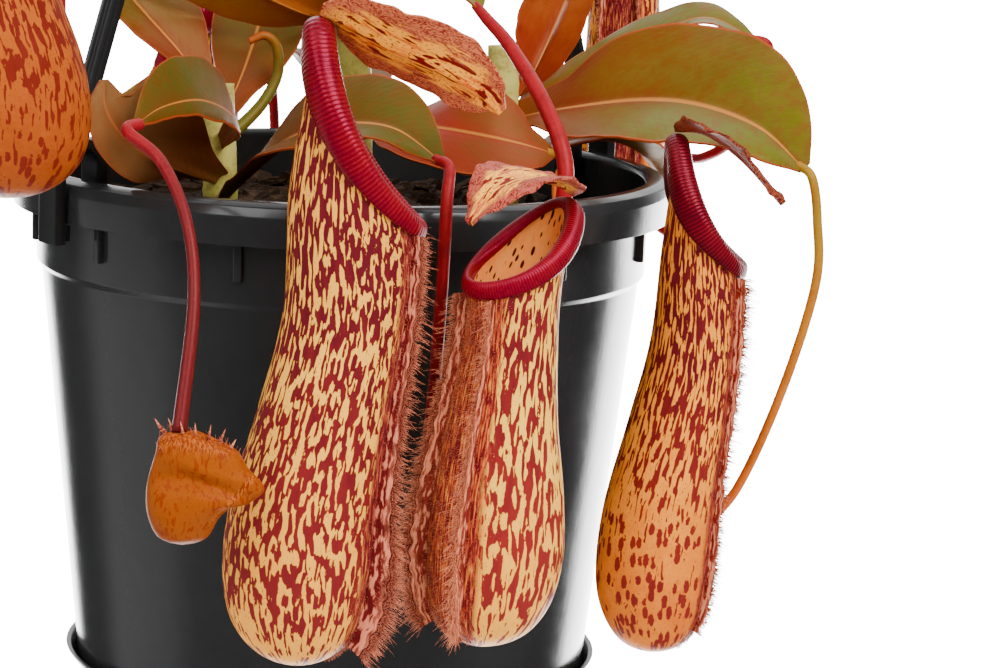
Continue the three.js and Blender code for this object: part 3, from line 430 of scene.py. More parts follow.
class Graph:
    """Short calls for one node tree."""

    def __init__(self, tree: bpy.types.NodeTree) -> None:
        """Keeps the tree that the nodes go into."""
        self.tree = tree

    def put(self, value: Value, socket: bpy.types.NodeSocket) -> None:
        """Links a wire to an input, or gives the input a number or a colour."""
        if isinstance(value, Wire):
            self.tree.links.new(value.socket, socket)
        else:
            socket.default_value = (*value, 1.0) if socket.type == "RGBA" else value

    def node(self, kind: str, inputs: Optional[dict] = None, **settings) -> bpy.types.Node:
        """Adds a node.

        Args:
            kind: the node's type name.
            inputs: values or wires for its inputs, by name or number.
            settings: attributes of the node.

        Returns:
            The node.
        """
        made = self.tree.nodes.new(kind)
        for key, value in settings.items():
            setattr(made, key, value)
        for key, value in (inputs or {}).items():
            self.put(value, made.inputs[key])
        return made

    def add(self, kind: str, output: str | int, inputs: Optional[dict] = None,
            **settings) -> Wire:
        """Adds a node and returns the one output that is named."""
        return Wire(self, self.node(kind, inputs, **settings).outputs[output])

    def math(self, operation: str, a: Value, b: Value = 0.0, clamp: bool = False) -> Wire:
        """A Math node on one or two values."""
        return self.add("ShaderNodeMath", 0, {0: a, 1: b}, operation=operation, use_clamp=clamp)

    def ridges(self, value: Wire, sharpness: float) -> Wire:
        """Lines where the value passes odd quarter turns: |sin value| to a high power."""
        return self.math("POWER", abs(self.math("SINE", value)), sharpness)

    def mix(self, share: Value, a: Value, b: Value) -> Wire:
        """Colour a at share 0 and colour b at share 1."""
        return self.add("ShaderNodeMix", 2, {0: share, 6: a, 7: b}, data_type="RGBA")

    def scaled(self, vector: Wire, scale: Colour) -> Wire:
        """A vector stretched along its axes."""
        return self.add("ShaderNodeMapping", "Vector", {"Vector": vector, "Scale": scale})

    def noise(self, vector: Wire, scale: Value, detail: float = 2.0, roughness: float = 0.5,
              distortion: float = 0.0) -> Wire:
        """Cloudy noise on a vector; three scales stretch the vector along its axes."""
        if isinstance(scale, tuple):
            vector, scale = self.scaled(vector, scale), 1.0
        return self.add("ShaderNodeTexNoise", "Fac", {
            "Vector": vector, "Scale": scale, "Detail": detail, "Roughness": roughness,
            "Distortion": distortion})

    def cells(self, vector: Wire, scale: float = 1.0, randomness: float = 1.0) -> Wire:
        """The distance to the nearest of many scattered points."""
        return self.add("ShaderNodeTexVoronoi", "Distance", {
            "Vector": vector, "Scale": scale, "Randomness": randomness}, feature="F1")

    def mark(self, name: str) -> Wire:
        """A mesh's named vector mark."""
        return self.add("ShaderNodeAttribute", "Vector", attribute_name=name)

    def parts(self, vector: Wire) -> list[Wire]:
        """The three numbers of a vector."""
        made = self.node("ShaderNodeSeparateXYZ", {"Vector": vector})
        return [Wire(self, socket) for socket in made.outputs]

    def place(self) -> Wire:
        """Object coordinates, in metres."""
        return self.add("ShaderNodeTexCoord", "Object")

    def rays(self) -> tuple[Wire, Wire]:
        """1 where the camera looks at the surface, and 1 where a glossy surface mirrors it."""
        outputs = self.node("ShaderNodeLightPath").outputs
        return Wire(self, outputs["Is Camera Ray"]), Wire(self, outputs["Is Glossy Ray"])

    def bump(self, height: Wire, strength: float, distance: float) -> Wire:
        """A bump normal from a height."""
        return self.add("ShaderNodeBump", "Normal", {"Height": height, "Strength": strength,
                                                     "Distance": distance})


@dataclass(frozen=True)
class Effect:
    """A shader node group that several finishes share, built at its first use.

    The first input is a vector and the others are numbers. The rule gets the group's graph
    and its inputs, and returns its outputs by name.
    """

    name: str
    inputs: tuple[str, ...]
    rule: Callable[..., dict[str, Wire]]

    def tree(self) -> bpy.types.NodeTree:
        """The group's tree."""
        tree = bpy.data.node_groups.get(self.name)
        if tree is not None:
            return tree
        tree = bpy.data.node_groups.new(self.name, "ShaderNodeTree")
        for n, label in enumerate(self.inputs):
            kind = "NodeSocketFloat" if n else "NodeSocketVector"
            tree.interface.new_socket(label, in_out="INPUT", socket_type=kind)
        g = Graph(tree)
        sources = g.node("NodeGroupInput").outputs[:len(self.inputs)]
        results = self.rule(g, *(Wire(g, source) for source in sources))
        for label in results:
            tree.interface.new_socket(label, in_out="OUTPUT", socket_type="NodeSocketFloat")
        g.node("NodeGroupOutput", results)
        return tree

    def on(self, g: Graph, *values: Value) -> list[Wire]:
        """Places the group in a material with values for its inputs; returns its outputs."""
        made = g.node("ShaderNodeGroup", dict(zip(self.inputs, values)), node_tree=self.tree())
        return [Wire(g, socket) for socket in made.outputs]


def mottle(g: Graph, vector: Wire, scale: Wire, contrast: Wire) -> dict[str, Wire]:
    """Soft patches with finer grain on top: 0.65 broad noise + 0.35 fine noise."""
    both = g.noise(vector, scale, 3.0) * 0.65 + g.noise(vector, scale * 7.0) * 0.35
    return {"Value": g.math("ADD", (both - 0.5) * contrast, 0.5, clamp=True)}


def blotches(g: Graph, flow: Wire, height: Wire, cover: Wire, fineness: Wire,
             ovals: Wire) -> dict[str, Wire]:
    """Long ragged blotches on a cup, and only small ovals below a share of its height.

    Blotches are a stretched noise above a level, with a finer noise that frays their edges
    and a broad one that varies the level. Ovals are cells near scattered points, fewer
    further up. Speckle is a field of tiny dots.

    Args:
        g: the group's graph.
        flow: places on the unrolled skin, in millimetres.
        height: the share of the cup's height.
        cover: how much of the skin the blotches take, about 0.5.
        fineness: how small the blotches are.
        ovals: the share of the height where the blotches begin.

    Returns:
        The mask of blotches and ovals, their depth of colour and the speckle.
    """
    sized = g.add("ShaderNodeVectorMath", 0, {0: flow, "Scale": fineness}, operation="SCALE")
    body = g.noise(sized, (0.84, 0.84, 0.18), 0.6, 0.5, 0.5)
    frayed = (g.noise(flow, (2.4, 2.4, 1.1), 1.5) - 0.5) * 0.16
    wander = (g.noise(flow, (0.12, 0.12, 0.06), 1.0) - 0.5) * 0.07
    above = height - ovals
    fewer_below = above.fall(-0.08, 0.2) * 0.22
    more_on_top = height.step(0.45, 0.95) * 0.02
    level = 0.5 - (cover - 0.5) * 0.3 + fewer_below + wander - more_on_top
    streaks = (body + frayed - level).step(-0.01, 0.016)
    wobble = (g.noise(flow, 1.3, 1.0) - 0.5) * 0.3
    shrink = above.step(0.0, 0.14) * 0.5
    cells = g.cells(g.scaled(sized, (0.36, 0.36, 0.16)), 1.0, 0.85)
    spots = (cells + (wobble + shrink)).fall(0.37, 0.41)
    return {"Mask": g.math("MAXIMUM", streaks, spots),
            "Depth": g.noise(flow, (0.5, 0.5, 0.12), 3.0),
            "Speckle": g.cells(flow, 1.15).fall(0.12, 0.24)}


def fibres(g: Graph, flow: Wire, fineness: Wire, length: Wire) -> dict[str, Wire]:
    """Fine lines along a mark's third number: noise that is strongly stretched."""
    stretch = g.add("ShaderNodeCombineXYZ", 0, {"X": fineness, "Y": fineness, "Z": length})
    moved = g.add("ShaderNodeVectorMath", 0, {0: flow, 1: stretch}, operation="MULTIPLY")
    return {"Value": g.noise(moved, 1.0, 3.0, 0.6)}


MOTTLE = Effect("Mottle", ("Vector", "Scale", "Contrast"), mottle)
BLOTCHES = Effect("Blotches", ("Flow", "Height", "Cover", "Fineness", "Ovals"), blotches)
FIBRES = Effect("Fibres", ("Flow", "Fineness", "Length"), fibres)
CREAM_GLOSS: Colour = (1.0, 0.5, 0.3)
LEAF_GLOSS: Colour = (1.0, 0.8, 0.35)
RED_GLOSS: Colour = (1.0, 0.25, 0.25)


@dataclass(frozen=True)
class Finish:
    """What every finish has: its name, its gloss and the tint of its highlights."""

    name: str
    roughness: float = 0.5
    specular: float = 0.5
    tint: Colour = (1.0, 1.0, 1.0)

    def paint(self, g: Graph) -> dict[str, Value]:
        """The shader's inputs that vary from place to place, by name."""
        raise NotImplementedError

    def build(self) -> None:
        """Makes the material: even values on the shader's own inputs, painted ones linked."""
        material = bpy.data.materials.new(self.name)
        material.use_nodes = True
        g = Graph(material.node_tree)
        shader = g.tree.nodes["Principled BSDF"]
        even = {"Roughness": self.roughness, "Specular IOR Level": self.specular,
                "Specular Tint": self.tint}
        for name, value in {**even, **self.paint(g)}.items():
            g.put(value, shader.inputs[name])


@dataclass(frozen=True)
class PlasticFinish(Finish):
    """Moulded black plastic with a faint flow pattern, fine scuffs and dust."""

    roughness: float = 0.18
    specular: float = 0.35
    colour: Colour = (0.0165, 0.0167, 0.017)
    dust: Colour = (0.02, 0.02, 0.021)

    def paint(self, g: Graph) -> dict[str, Value]:
        """Paler patches, and dust in the upright scuffs."""
        place = g.place()
        patches = MOTTLE.on(g, place, 35.0, 1.4)[0]
        scuffs = g.noise(place, (900.0, 900.0, 90.0))
        paler = tuple(c * 1.8 + 0.001 for c in self.colour)
        colour = g.mix(patches * 0.5, self.colour, paler)
        height = g.noise(place, 260.0) * 0.6 + scuffs * 0.2
        return {"Base Color": colour.towards(self.dust, scuffs.step(0.66, 0.8) * 0.35),
                "Roughness": patches * 0.14 + (self.roughness - 0.05),
                "Normal": g.bump(height, 0.12, 0.0004)}


@dataclass(frozen=True)
class CupFinish(Finish):
    """A pitcher's spotted skin and its spotted lining."""

    specular: float = 0.12
    tint: Colour = CREAM_GLOSS
    low: Colour = (0.84, 0.3, 0.022)
    light: Colour = (1.0, 0.48, 0.05)
    blotch: Colour = (0.105, 0.0055, 0.012)
    fresh: Colour = (0.18, 0.011, 0.014)
    haze: Colour = (0.42, 0.06, 0.012)
    fuzz: Colour = (0.34, 0.045, 0.03)
    cover: float = 0.58
    blush: float = 0.3
    fineness: float = 1.45
    ovals: float = 0.16
    lining: Colour = (1.0, 0.28, 0.04)
    pale_lining: Colour = (1.0, 0.44, 0.1)
    lining_streak: Colour = (0.85, 0.14, 0.02)
    lining_spot: Colour = (0.05, 0.002, 0.004)

    def paint(self, g: Graph) -> dict[str, Value]:
        """Paints the ground, its haze, the blotches, the felt by the wings and the lining.

        The mark "flow" is a cylinder of true size with the length as its third number. The
        mark "cup" holds how near the wings a point is, its height share and 1 inside.
        """
        flow = g.mark("flow")
        near, height, inside = g.parts(g.mark("cup"))
        mask, depth, speckle = BLOTCHES.on(g, flow, height, self.cover, self.fineness,
                                           self.ovals)
        fine = FIBRES.on(g, flow, 2.6, 0.35)[0]
        broad = MOTTLE.on(g, flow, 0.11, 2.2)[0]
        lightness = g.math("ADD", broad * 0.5, height.step(0.3, 0.7) * 0.6, clamp=True)
        ground = g.mix(lightness, self.low, self.light)
        for share in (fine.step(0.55, 0.75) * 0.3, speckle * 0.6,
                      height.step(0.62, 1.0) * self.blush):
            ground = ground.towards(self.haze, share)
        freshness = g.math("ADD", depth.step(0.35, 0.65) * 0.5, 0.75 - height.step(0.4, 0.9),
                           clamp=True)
        outside = ground.towards(g.mix(freshness, self.blotch, self.fresh), mask)
        threads = FIBRES.on(g, flow, 2.1, 0.2)[0]
        felt = g.mix(threads.step(0.46, 0.56), self.blotch, self.fuzz)
        felt = felt.towards(self.light, threads.step(0.56, 0.7) * 0.6)
        outside = outside.towards(felt, (near + (threads - 0.5) * 0.7).step(0.35, 0.8))
        cells = g.cells(g.scaled(flow, (0.4, 0.4, 0.27)))
        spots = (cells + g.noise(flow, 0.5, 1.0) * 0.22).fall(0.33, 0.4)
        lining = g.mix(broad, self.lining, self.pale_lining)
        lining = lining.towards(self.lining_streak, fine.step(0.5, 0.7) * 0.4)
        lining = lining.towards(self.lining_spot, spots)
        relief = fine * 0.55 + g.noise(flow, 3.2) * 0.45
        return {"Base Color": outside.towards(lining, inside),
                "Roughness": (broad - 0.5) * 0.12 + self.roughness,
                "Normal": g.bump(relief, 0.35, 0.0004)}


@dataclass(frozen=True)
class FringeFinish(Finish):
    """The furry wings and their bristles, redder at the root and pale at the tip."""

    roughness: float = 0.6
    specular: float = 0.15
    tint: Colour = CREAM_GLOSS
    root: Colour = (0.14, 0.007, 0.009)
    tip: Colour = (1.0, 0.32, 0.17)

    def paint(self, g: Graph) -> dict[str, Value]:
        """Paints light and dark lines; the mark "run" starts with 0 at the root, 1 at the tip."""
        run = g.mark("run")
        lines = g.noise(run, (9.0, 0.3, 2.2))
        colour = g.mix(g.parts(run)[0].step(0.25, 0.95), self.root, self.tip)
        colour = colour.towards(self.tip, lines.step(0.5, 0.6) * 0.6)
        darker = tuple(c * 0.5 for c in self.root)
        colour = colour.towards(darker, lines.fall(0.38, 0.46) * 0.7)
        return {"Base Color": colour, "Normal": g.bump(lines, 0.6, 0.0005)}


@dataclass(frozen=True)
class LipFinish(Finish):
    """The glossy ribbed lip: crimson, darker outside, with a painted pink highlight on the rib
    crests and painted shade in the grooves.
    """

    roughness: float = 0.24
    specular: float = 0.6
    tint: Colour = (1.0, 0.1, 0.24)
    deep: Colour = (0.07, 0.0008, 0.004)
    main: Colour = (0.17, 0.0007, 0.011)
    # The colour of the painted highlight on the rib crests.
    rib_highlight: Colour = (0.42, 0.01, 0.03)
    warm: Colour = (0.22, 0.002, 0.006)

    def paint(self, g: Graph) -> dict[str, Value]:
        """Paints patches, then the dark outer edge and back, painted shade in the grooves between
        the ribs, then a painted highlight on the rib crests.

        The mark "lip" holds the rib height, the share round the section and the share
        towards the back.
        """
        rib, turn, back = g.parts(g.mark("lip"))
        patches = MOTTLE.on(g, g.place(), 160.0, 2.0)[0]
        colour = g.mix(patches.step(0.2, 0.8), self.main, self.warm)
        # The last share darkens the grooves between the ribs: painted shade.
        for share in (turn.fall(0.05, 0.28) * 0.8, back.step(0.3, 0.9) * 0.35,
                      (1.0 - rib) * 0.6):
            colour = colour.towards(self.deep, share)
        # A painted pink highlight laid on the rib crests.
        colour = colour.towards(self.rib_highlight, rib.step(0.7, 1.0) * (patches * 0.35))
        return {"Base Color": colour, "Roughness": patches * 0.1 + self.roughness,
                "Normal": g.bump(g.noise(g.place(), 900.0), 0.12, 0.0003)}


@dataclass(frozen=True)
class BladeFinish(Finish):
    """One face of a leaf: ground, flush, midrib, margin and veins."""

    roughness: float = 0.45
    specular: float = 0.25
    tint: Colour = LEAF_GLOSS
    ground: Colour = (0.066, 0.092, 0.003)
    second: Colour = (0.13, 0.12, 0.006)
    flush: Colour = (0.16, 0.02, 0.003)
    midrib: Colour = (0.46, 0.16, 0.025)
    margin: Colour = (0.32, 0.05, 0.01)
    flushed: float = 0.38
    rib_width: float = 0.03

    def paint(self, g: Graph) -> dict[str, Value]:
        """Paints two greens, the flush, the veins and long lines, the midrib and the margin.

        The mark "blade" holds the share along, the signed share across and 1 below; the
        mark "flow" the millimetres along and across. Veins run out obliquely: a wave of the
        length less the width.
        """
        s, v, _ = g.parts(g.mark("blade"))
        run, out, _ = g.parts(g.mark("flow"))
        reach, place = abs(v), g.place()
        patches, fine = MOTTLE.on(g, place, 42.0, 2.4)[0], MOTTLE.on(g, place, 330.0, 1.8)[0]
        colour = g.mix(patches * 0.9, self.ground, self.second)
        in_clouds = g.noise(place, 24.0, 3.0).step(0.36, 0.66) * self.flushed
        at_margin = reach.step(0.55, 1.0) * (self.flushed * 0.4)
        at_root = s.fall(0.1, 0.6) * (self.flushed * 2.1)
        at_rib = reach.fall(0.02, 0.3) * (self.flushed * 0.7)
        colour = colour.towards(self.flush, g.math("ADD", in_clouds + at_margin,
                                                   at_root + at_rib, clamp=True))
        phase = run * 1.15 - abs(out) * 1.5
        veins = g.ridges((phase + g.noise(place, 110.0) * 3.0) * 0.9, 10.0)
        lines = g.ridges(out * 1.35, 14.0)
        colour = colour.towards(self.second, g.math("ADD", veins, lines, clamp=True) * 0.07)
        colour = colour.towards(self.flush, fine.step(0.4, 0.7) * 0.36)
        centre = reach.fall(self.rib_width * 0.45, self.rib_width * 1.5)
        colour = colour.towards(self.midrib, centre * (1.0 - s.step(0.1, 0.4) * 0.15))
        colour = colour.towards(self.margin, reach.step(0.955, 0.99))
        relief = veins * -0.14 + (fine * 0.4 + lines * -0.08)
        return {"Base Color": colour, "Roughness": (patches - 0.5) * 0.15 + self.roughness,
                "Normal": g.bump(relief, 0.3, 0.0004)}


@dataclass(frozen=True)
class LidFinish(Finish):
    """A pitcher's lid: warm ground with dark dashes along it and a furry red border."""

    specular: float = 0.2
    tint: Colour = CREAM_GLOSS
    ground: Colour = (1.0, 0.37, 0.022)
    second: Colour = (0.76, 0.13, 0.01)
    dash: Colour = (0.16, 0.003, 0.005)
    border: Colour = (0.2, 0.008, 0.008)
    felt: Colour = (0.6, 0.15, 0.06)
    border_from: float = 0.38
    dashes: float = 0.75

    def paint(self, g: Graph) -> dict[str, Value]:
        """Paints streaks, dashes, specks and the border from the marks of a blade.

        The border is felt with a network of dark veins: thin bands where a noise is near
        its middle.
        """
        s, v, _ = g.parts(g.mark("blade"))
        flow = g.mark("flow")
        streak = g.noise(flow, (0.16, 0.6, 0.6), 2.5, 0.55, 0.6)
        dash = g.noise(flow, (0.22, 0.62, 0.62), 1.0, 0.5, 0.5)
        cut = 0.78 - 0.25 * self.dashes
        colour = g.mix(streak.step(0.48, 0.66), self.ground, self.second)
        colour = colour.towards(self.dash, dash.step(cut - 0.02, cut + 0.02))
        specks = g.noise(flow, (1.6, 2.2, 2.2), 1.0)
        colour = colour.towards(self.border, specks.step(0.6, 0.66) * 0.8)
        threads = g.noise(flow, (0.7, 1.0, 1.0), 2.0, 0.6, 1.2)
        veins = abs(threads - 0.5).fall(0.02, 0.06)
        border = g.mix(veins, self.felt, self.border)
        ragged = abs(v) + (streak - 0.5) * 1.1
        colour = colour.towards(border, ragged.step(self.border_from, self.border_from + 0.3))
        colour = colour.towards(border, s.fall(0.0, 0.22) * 0.8)
        return {"Base Color": colour, "Normal": g.bump(threads + streak, 0.35, 0.0005)}


@dataclass(frozen=True)
class CordFinish(Finish):
    """A tendril or stem: two colours along it, fine lines and small freckles."""

    roughness: float = 0.45
    specular: float = 0.3
    tint: Colour = LEAF_GLOSS
    first: Colour = (0.27, 0.006, 0.01)
    last: Colour = (0.27, 0.006, 0.01)
    freckle: Colour = (0.11, 0.003, 0.006)
    turn_at: float = 0.4

    def paint(self, g: Graph) -> dict[str, Value]:
        """Paints from the mark "run", which starts with the share of the length."""
        place = g.place()
        patches = MOTTLE.on(g, place, 130.0, 2.0)[0]
        fine = g.noise(place, (1400.0, 1400.0, 260.0))
        share = g.parts(g.mark("run"))[0].step(self.turn_at - 0.3, self.turn_at + 0.3)
        colour = g.mix(share, self.first, self.last)
        colour = colour.towards(self.freckle, patches.step(0.4, 0.75) * 0.45)
        paler = tuple(min(1.0, c * 1.5 + 0.008) for c in self.first)
        colour = colour.towards(paler, fine.step(0.6, 0.75) * 0.3)
        return {"Base Color": colour, "Normal": g.bump(fine, 0.25, 0.0003)}


@dataclass(frozen=True)
class BarkFinish(Finish):
    """Bark chips: each chip has its own brown, darkened by painted shade, with grain and pale
    scuffed faces.
    """

    roughness: float = 0.9
    specular: float = 0.1
    # Both browns are the bark's own browns, darkened far further as painted shade for the inside of
    # the pot.
    dark: Colour = (0.004, 0.002, 0.001)
    light: Colour = (0.042, 0.019, 0.008)
    scuffed: Colour = (0.1, 0.055, 0.025)

    def paint(self, g: Graph) -> dict[str, Value]:
        """Paints from the mark "run", which starts with a chip's own number."""
        own, place = g.parts(g.mark("run"))[0], g.place()
        grain = g.noise(place, (240.0, 240.0, 1400.0), 3.0, 0.6, 0.4)
        patches = MOTTLE.on(g, place, 150.0, 2.6)[0]
        colour = g.mix(own * 0.55 + patches * 0.45, self.dark, self.light)
        return {"Base Color": colour.towards(self.scuffed, grain.step(0.5, 0.68) * 0.5),
                "Normal": g.bump(grain + patches, 0.7, 0.0012)}


@dataclass(frozen=True)
class FloorFinish(Finish):
    """The plain pale floor, burnt out to white in view.

    In reflections it is dark, with a bright part behind the plant and a dim one at its left.
    """

    roughness: float = 0.9
    pale: Colour = (0.93, 0.93, 0.93)
    grey: Colour = (0.85, 0.85, 0.85)
    dark: Colour = (0.01, 0.01, 0.01)
    behind: tuple = ((-0.62, -0.42), (0.72, 0.95))
    behind_glow: float = 16.0
    left: tuple = ((-2.15, -1.85), (-1.4, -1.1))
    left_glow: float = 0.7

    def paint(self, g: Graph) -> dict[str, Value]:
        """The mirrored parts are ranges of the direction from the plant, in radians."""
        camera, glossy = g.rays()
        plain = g.mix(g.noise(g.place(), 40.0) * 0.03, self.pale, self.grey)
        x, y, _ = g.parts(g.place())
        turn = g.math("ARCTAN2", x, y)
        shine = (turn.band(*self.behind) * self.behind_glow
                 + turn.band(*self.left) * self.left_glow)
        return {"Base Color": plain.towards(self.dark, glossy),
                "Emission Color": (1.0, 1.0, 1.0),
                "Emission Strength": camera * WHITE_GLOW + glossy * shine}


FINISHES = (
    PlasticFinish("pot_plastic"),
    PlasticFinish("bail_plastic", 0.36, 0.3, colour=(0.006, 0.0062, 0.0064)),
    CupFinish("cup_cream"),
    CupFinish("cup_yellow", low=(0.95, 0.36, 0.028), light=(1.0, 0.55, 0.065),
              haze=(0.5, 0.08, 0.012), blotch=(0.14, 0.008, 0.013), fresh=(0.24, 0.015, 0.015),
              fuzz=(0.6, 0.09, 0.025), cover=0.54, blush=0.35, fineness=1.1, ovals=0.12),
    CupFinish("cup_orange", low=(0.56, 0.09, 0.002), light=(0.98, 0.34, 0.022),
              haze=(0.42, 0.045, 0.008), blotch=(0.105, 0.006, 0.011), fresh=(0.2, 0.013, 0.01),
              cover=0.54, fineness=1.35, ovals=0.45),
    CupFinish("cup_red", low=(0.28, 0.045, 0.005), light=(0.44, 0.1, 0.01),
              haze=(0.24, 0.02, 0.006), blotch=(0.12, 0.008, 0.005), fresh=(0.16, 0.012, 0.006),
              cover=0.5, ovals=0.3),
    CupFinish("cup_young", 0.45, 0.15, low=(0.2, 0.034, 0.001), light=(0.28, 0.058, 0.002),
              haze=(0.18, 0.02, 0.002), blotch=(0.18, 0.02, 0.0015), fresh=(0.24, 0.032, 0.0015),
              fuzz=(0.4, 0.09, 0.008), cover=0.2, ovals=0.0),
    FringeFinish("fringe_red"),
    FringeFinish("fringe_tan", root=(0.22, 0.022, 0.014), tip=(1.0, 0.35, 0.17)),
    FringeFinish("fringe_orange", root=(0.19, 0.011, 0.008), tip=(1.0, 0.34, 0.17)),
    LipFinish("lip_crimson"),
    LipFinish("lip_dark", 0.26, 0.5, (1.0, 0.15, 0.24), (0.03, 0.0008, 0.003),
              (0.09, 0.001, 0.007), warm=(0.13, 0.002, 0.005)),
    BladeFinish("leaf_top", 0.4, 0.3),
    # A darker copy of the leaf finish, for the leaves that lie in shade: painted shade.
    BladeFinish("leaf_shaded", ground=(0.05, 0.055, 0.002), second=(0.085, 0.065, 0.004),
                flush=(0.15, 0.025, 0.004), flushed=0.42),
    BladeFinish("leaf_warm", ground=(0.11, 0.038, 0.005), second=(0.18, 0.045, 0.008),
                flush=(0.24, 0.018, 0.007), flushed=0.75),
    BladeFinish("leaf_under", 0.5, ground=(0.12, 0.07, 0.009), second=(0.17, 0.085, 0.012),
                flush=(0.16, 0.03, 0.006), midrib=(0.4, 0.08, 0.02), flushed=0.7),
    BladeFinish("leaf_brown", 0.5, ground=(0.19, 0.09, 0.028), second=(0.25, 0.115, 0.04),
                flush=(0.22, 0.06, 0.014), midrib=(0.36, 0.1, 0.03), flushed=0.5),
    BladeFinish("leaf_gold", 0.42, 0.3, ground=(0.22, 0.13, 0.006), second=(0.34, 0.18, 0.012),
                flush=(0.34, 0.07, 0.006), midrib=(0.5, 0.16, 0.02), flushed=0.55),
    BladeFinish("leaf_red", 0.42, 0.3, ground=(0.3, 0.045, 0.005), second=(0.38, 0.09, 0.01),
                flush=(0.22, 0.015, 0.004), midrib=(0.5, 0.18, 0.04), flushed=0.6),
    BladeFinish("leaf_fresh", 0.4, 0.3, ground=(0.13, 0.14, 0.005), second=(0.2, 0.18, 0.01),
                flush=(0.3, 0.1, 0.01), flushed=0.2),
    LidFinish("lid_yellow"),
    LidFinish("lid_pink", 0.55, ground=(1.0, 0.42, 0.04), second=(0.62, 0.13, 0.04),
              border=(0.15, 0.006, 0.01), felt=(0.42, 0.085, 0.05), border_from=0.33),
    LidFinish("lid_brown", 0.6, 0.08, ground=(0.2, 0.03, 0.01), second=(0.12, 0.012, 0.008),
              border=(0.09, 0.005, 0.006), felt=(0.22, 0.05, 0.02), dashes=0.3),
    CordFinish("tendril_red", 0.4, 0.4, RED_GLOSS),
    CordFinish("tendril_bright", 0.4, 0.4, RED_GLOSS, (0.27, 0.006, 0.012),
               (0.09, 0.008, 0.009)),
    CordFinish("tendril_gold", 0.42, first=(0.28, 0.15, 0.008), last=(0.74, 0.11, 0.005),
               freckle=(0.36, 0.07, 0.006), turn_at=0.5),
    CordFinish("stem_green", first=(0.46, 0.41, 0.08), last=(0.48, 0.42, 0.1),
               freckle=(0.16, 0.06, 0.01)),
    CordFinish("shoot_olive", first=(0.1, 0.09, 0.008), last=(0.36, 0.06, 0.008),
               freckle=(0.16, 0.03, 0.006), turn_at=0.75),
    BarkFinish("bark_brown"),
    FloorFinish("floor_pale"),
)


# ---------------------------------------------------------------- pot, saucer and bail


def turned_body(outline: Rows, sides: int, corner: float = 0.35) -> Skin:
    """A body of revolution with softened corners.

    Every corner of the outline is replaced by three points of a small curve: the corner
    pulled in by up to the given size along both sides, and the middle of the parabola.

    Args:
        outline: radius and height pairs from the axis round to the axis.
        sides: how many columns.
        corner: size of the softening.

    Returns:
        The closed body.
    """
    flat = np.asarray(outline, dtype=float)
    before, after = flat[1:-1] - flat[:-2], flat[2:] - flat[1:-1]
    lb, la = (np.linalg.norm(d, axis=1, keepdims=True) for d in (before, after))
    a = flat[1:-1] - before / lb * np.minimum(corner, lb * 0.4)
    b = flat[1:-1] + after / la * np.minimum(corner, la * 0.4)
    middle = 0.25 * a + 0.5 * flat[1:-1] + 0.25 * b
    soft = np.stack([a, middle, b], 1).reshape(-1, 2)
    angle, radius = circle(sides), soft[:, 0:1]
    skin = lofted(stacked(radius * np.cos(angle), radius * np.sin(angle), soft[:, 1:2]))
    skin.points[-2] = [0, 0, flat[0, 1]]
    skin.points[-1] = [0, 0, flat[-1, 1]]
    return skin


def rounded_block(low: Sequence[float], high: Sequence[float], soft: float = 0.5) -> Skin:
    """A block with rounded corners: rings drawn in towards the two level faces.

    Args:
        low: lowest corner.
        high: highest corner.
        soft: radius of the upright and level edges.

    Returns:
        The closed block.
    """
    a, b = np.asarray(low, dtype=float), np.asarray(high, dtype=float)
    centre, half = (a + b) / 2, (b - a) / 2
    soft = min(soft, float(half.min()) * 0.9)
    quarter = np.linspace(0, math.pi / 2, 4)
    corner = np.stack([np.cos(quarter), np.sin(quarter)], -1)
    signs = [(1, 1), (-1, 1), (-1, -1), (1, -1)]
    flat = np.vstack([np.asarray(sign) * (half[:2] - soft + soft * corner[::sign[0] * sign[1]])
                      for sign in signs])
    lower = [(-1.0, soft), (-1 + 0.3 * soft / half[2], 0.3 * soft), (-1 + soft / half[2], 0.0)]
    levels = lower + [(-z, inset) for z, inset in lower[::-1]]
    return lofted(np.array([
        stacked(*((1 - inset / half[:2]) * flat + centre[:2]).T, centre[2] + z * half[2])
        for z, inset in levels]))


@dataclass
class Pot:
    """The tapered pot with its rim band, collar and stacking lugs."""

    rim_radius: float = 85.0
    rim_top: float = 140.0
    band_bottom: float = 129.5
    collar_radius: float = 79.2
    step_height: float = 114.2
    wall_top: float = 77.5
    wall_foot: float = 66.8
    wall: float = 1.6
    floor: float = 2.2
    foot: float = 7.5
    lugs: int = 12

    def outline(self) -> list[tuple[float, float]]:
        """The section as radius and height pairs, from the axis below to the axis inside."""
        r, top, c = self.rim_radius, self.rim_top, self.collar_radius
        return [(0, self.foot), (self.wall_foot - 4, self.foot),
                (self.wall_foot - 1.8, self.foot + 0.8), (self.wall_foot, self.foot + 3),
                (self.wall_top, self.step_height - 1), (c - 0.3, self.step_height + 0.6),
                (c, self.band_bottom + 4), (r - 2, self.band_bottom + 4),
                (r - 1.8, self.band_bottom), (r, self.band_bottom), (r, top - 3.4),
                (r - 0.8, top - 1), (r - 2.8, top), (r - 5.6, top), (r - 7, top - 1.4),
                (c - self.wall, self.step_height + 1),
                (self.wall_top - self.wall, self.step_height - 1.6),
                (self.wall_foot - 2 * self.wall, self.foot + self.floor),
                (0, self.foot + self.floor)]

    def build(self) -> None:
        """Makes the pot with its lugs."""
        low = (self.collar_radius - 1, -1.1, self.step_height + 6)
        high = (self.collar_radius + 1.4, 1.1, self.band_bottom + 2)
        lugs = [rounded_block(low, high, 0.4).turned(360 * (n + 0.5) / self.lugs)
                for n in range(self.lugs)]
        add_piece("pot", [turned_body(self.outline(), 192), *lugs], ["pot_plastic"],
                  35)


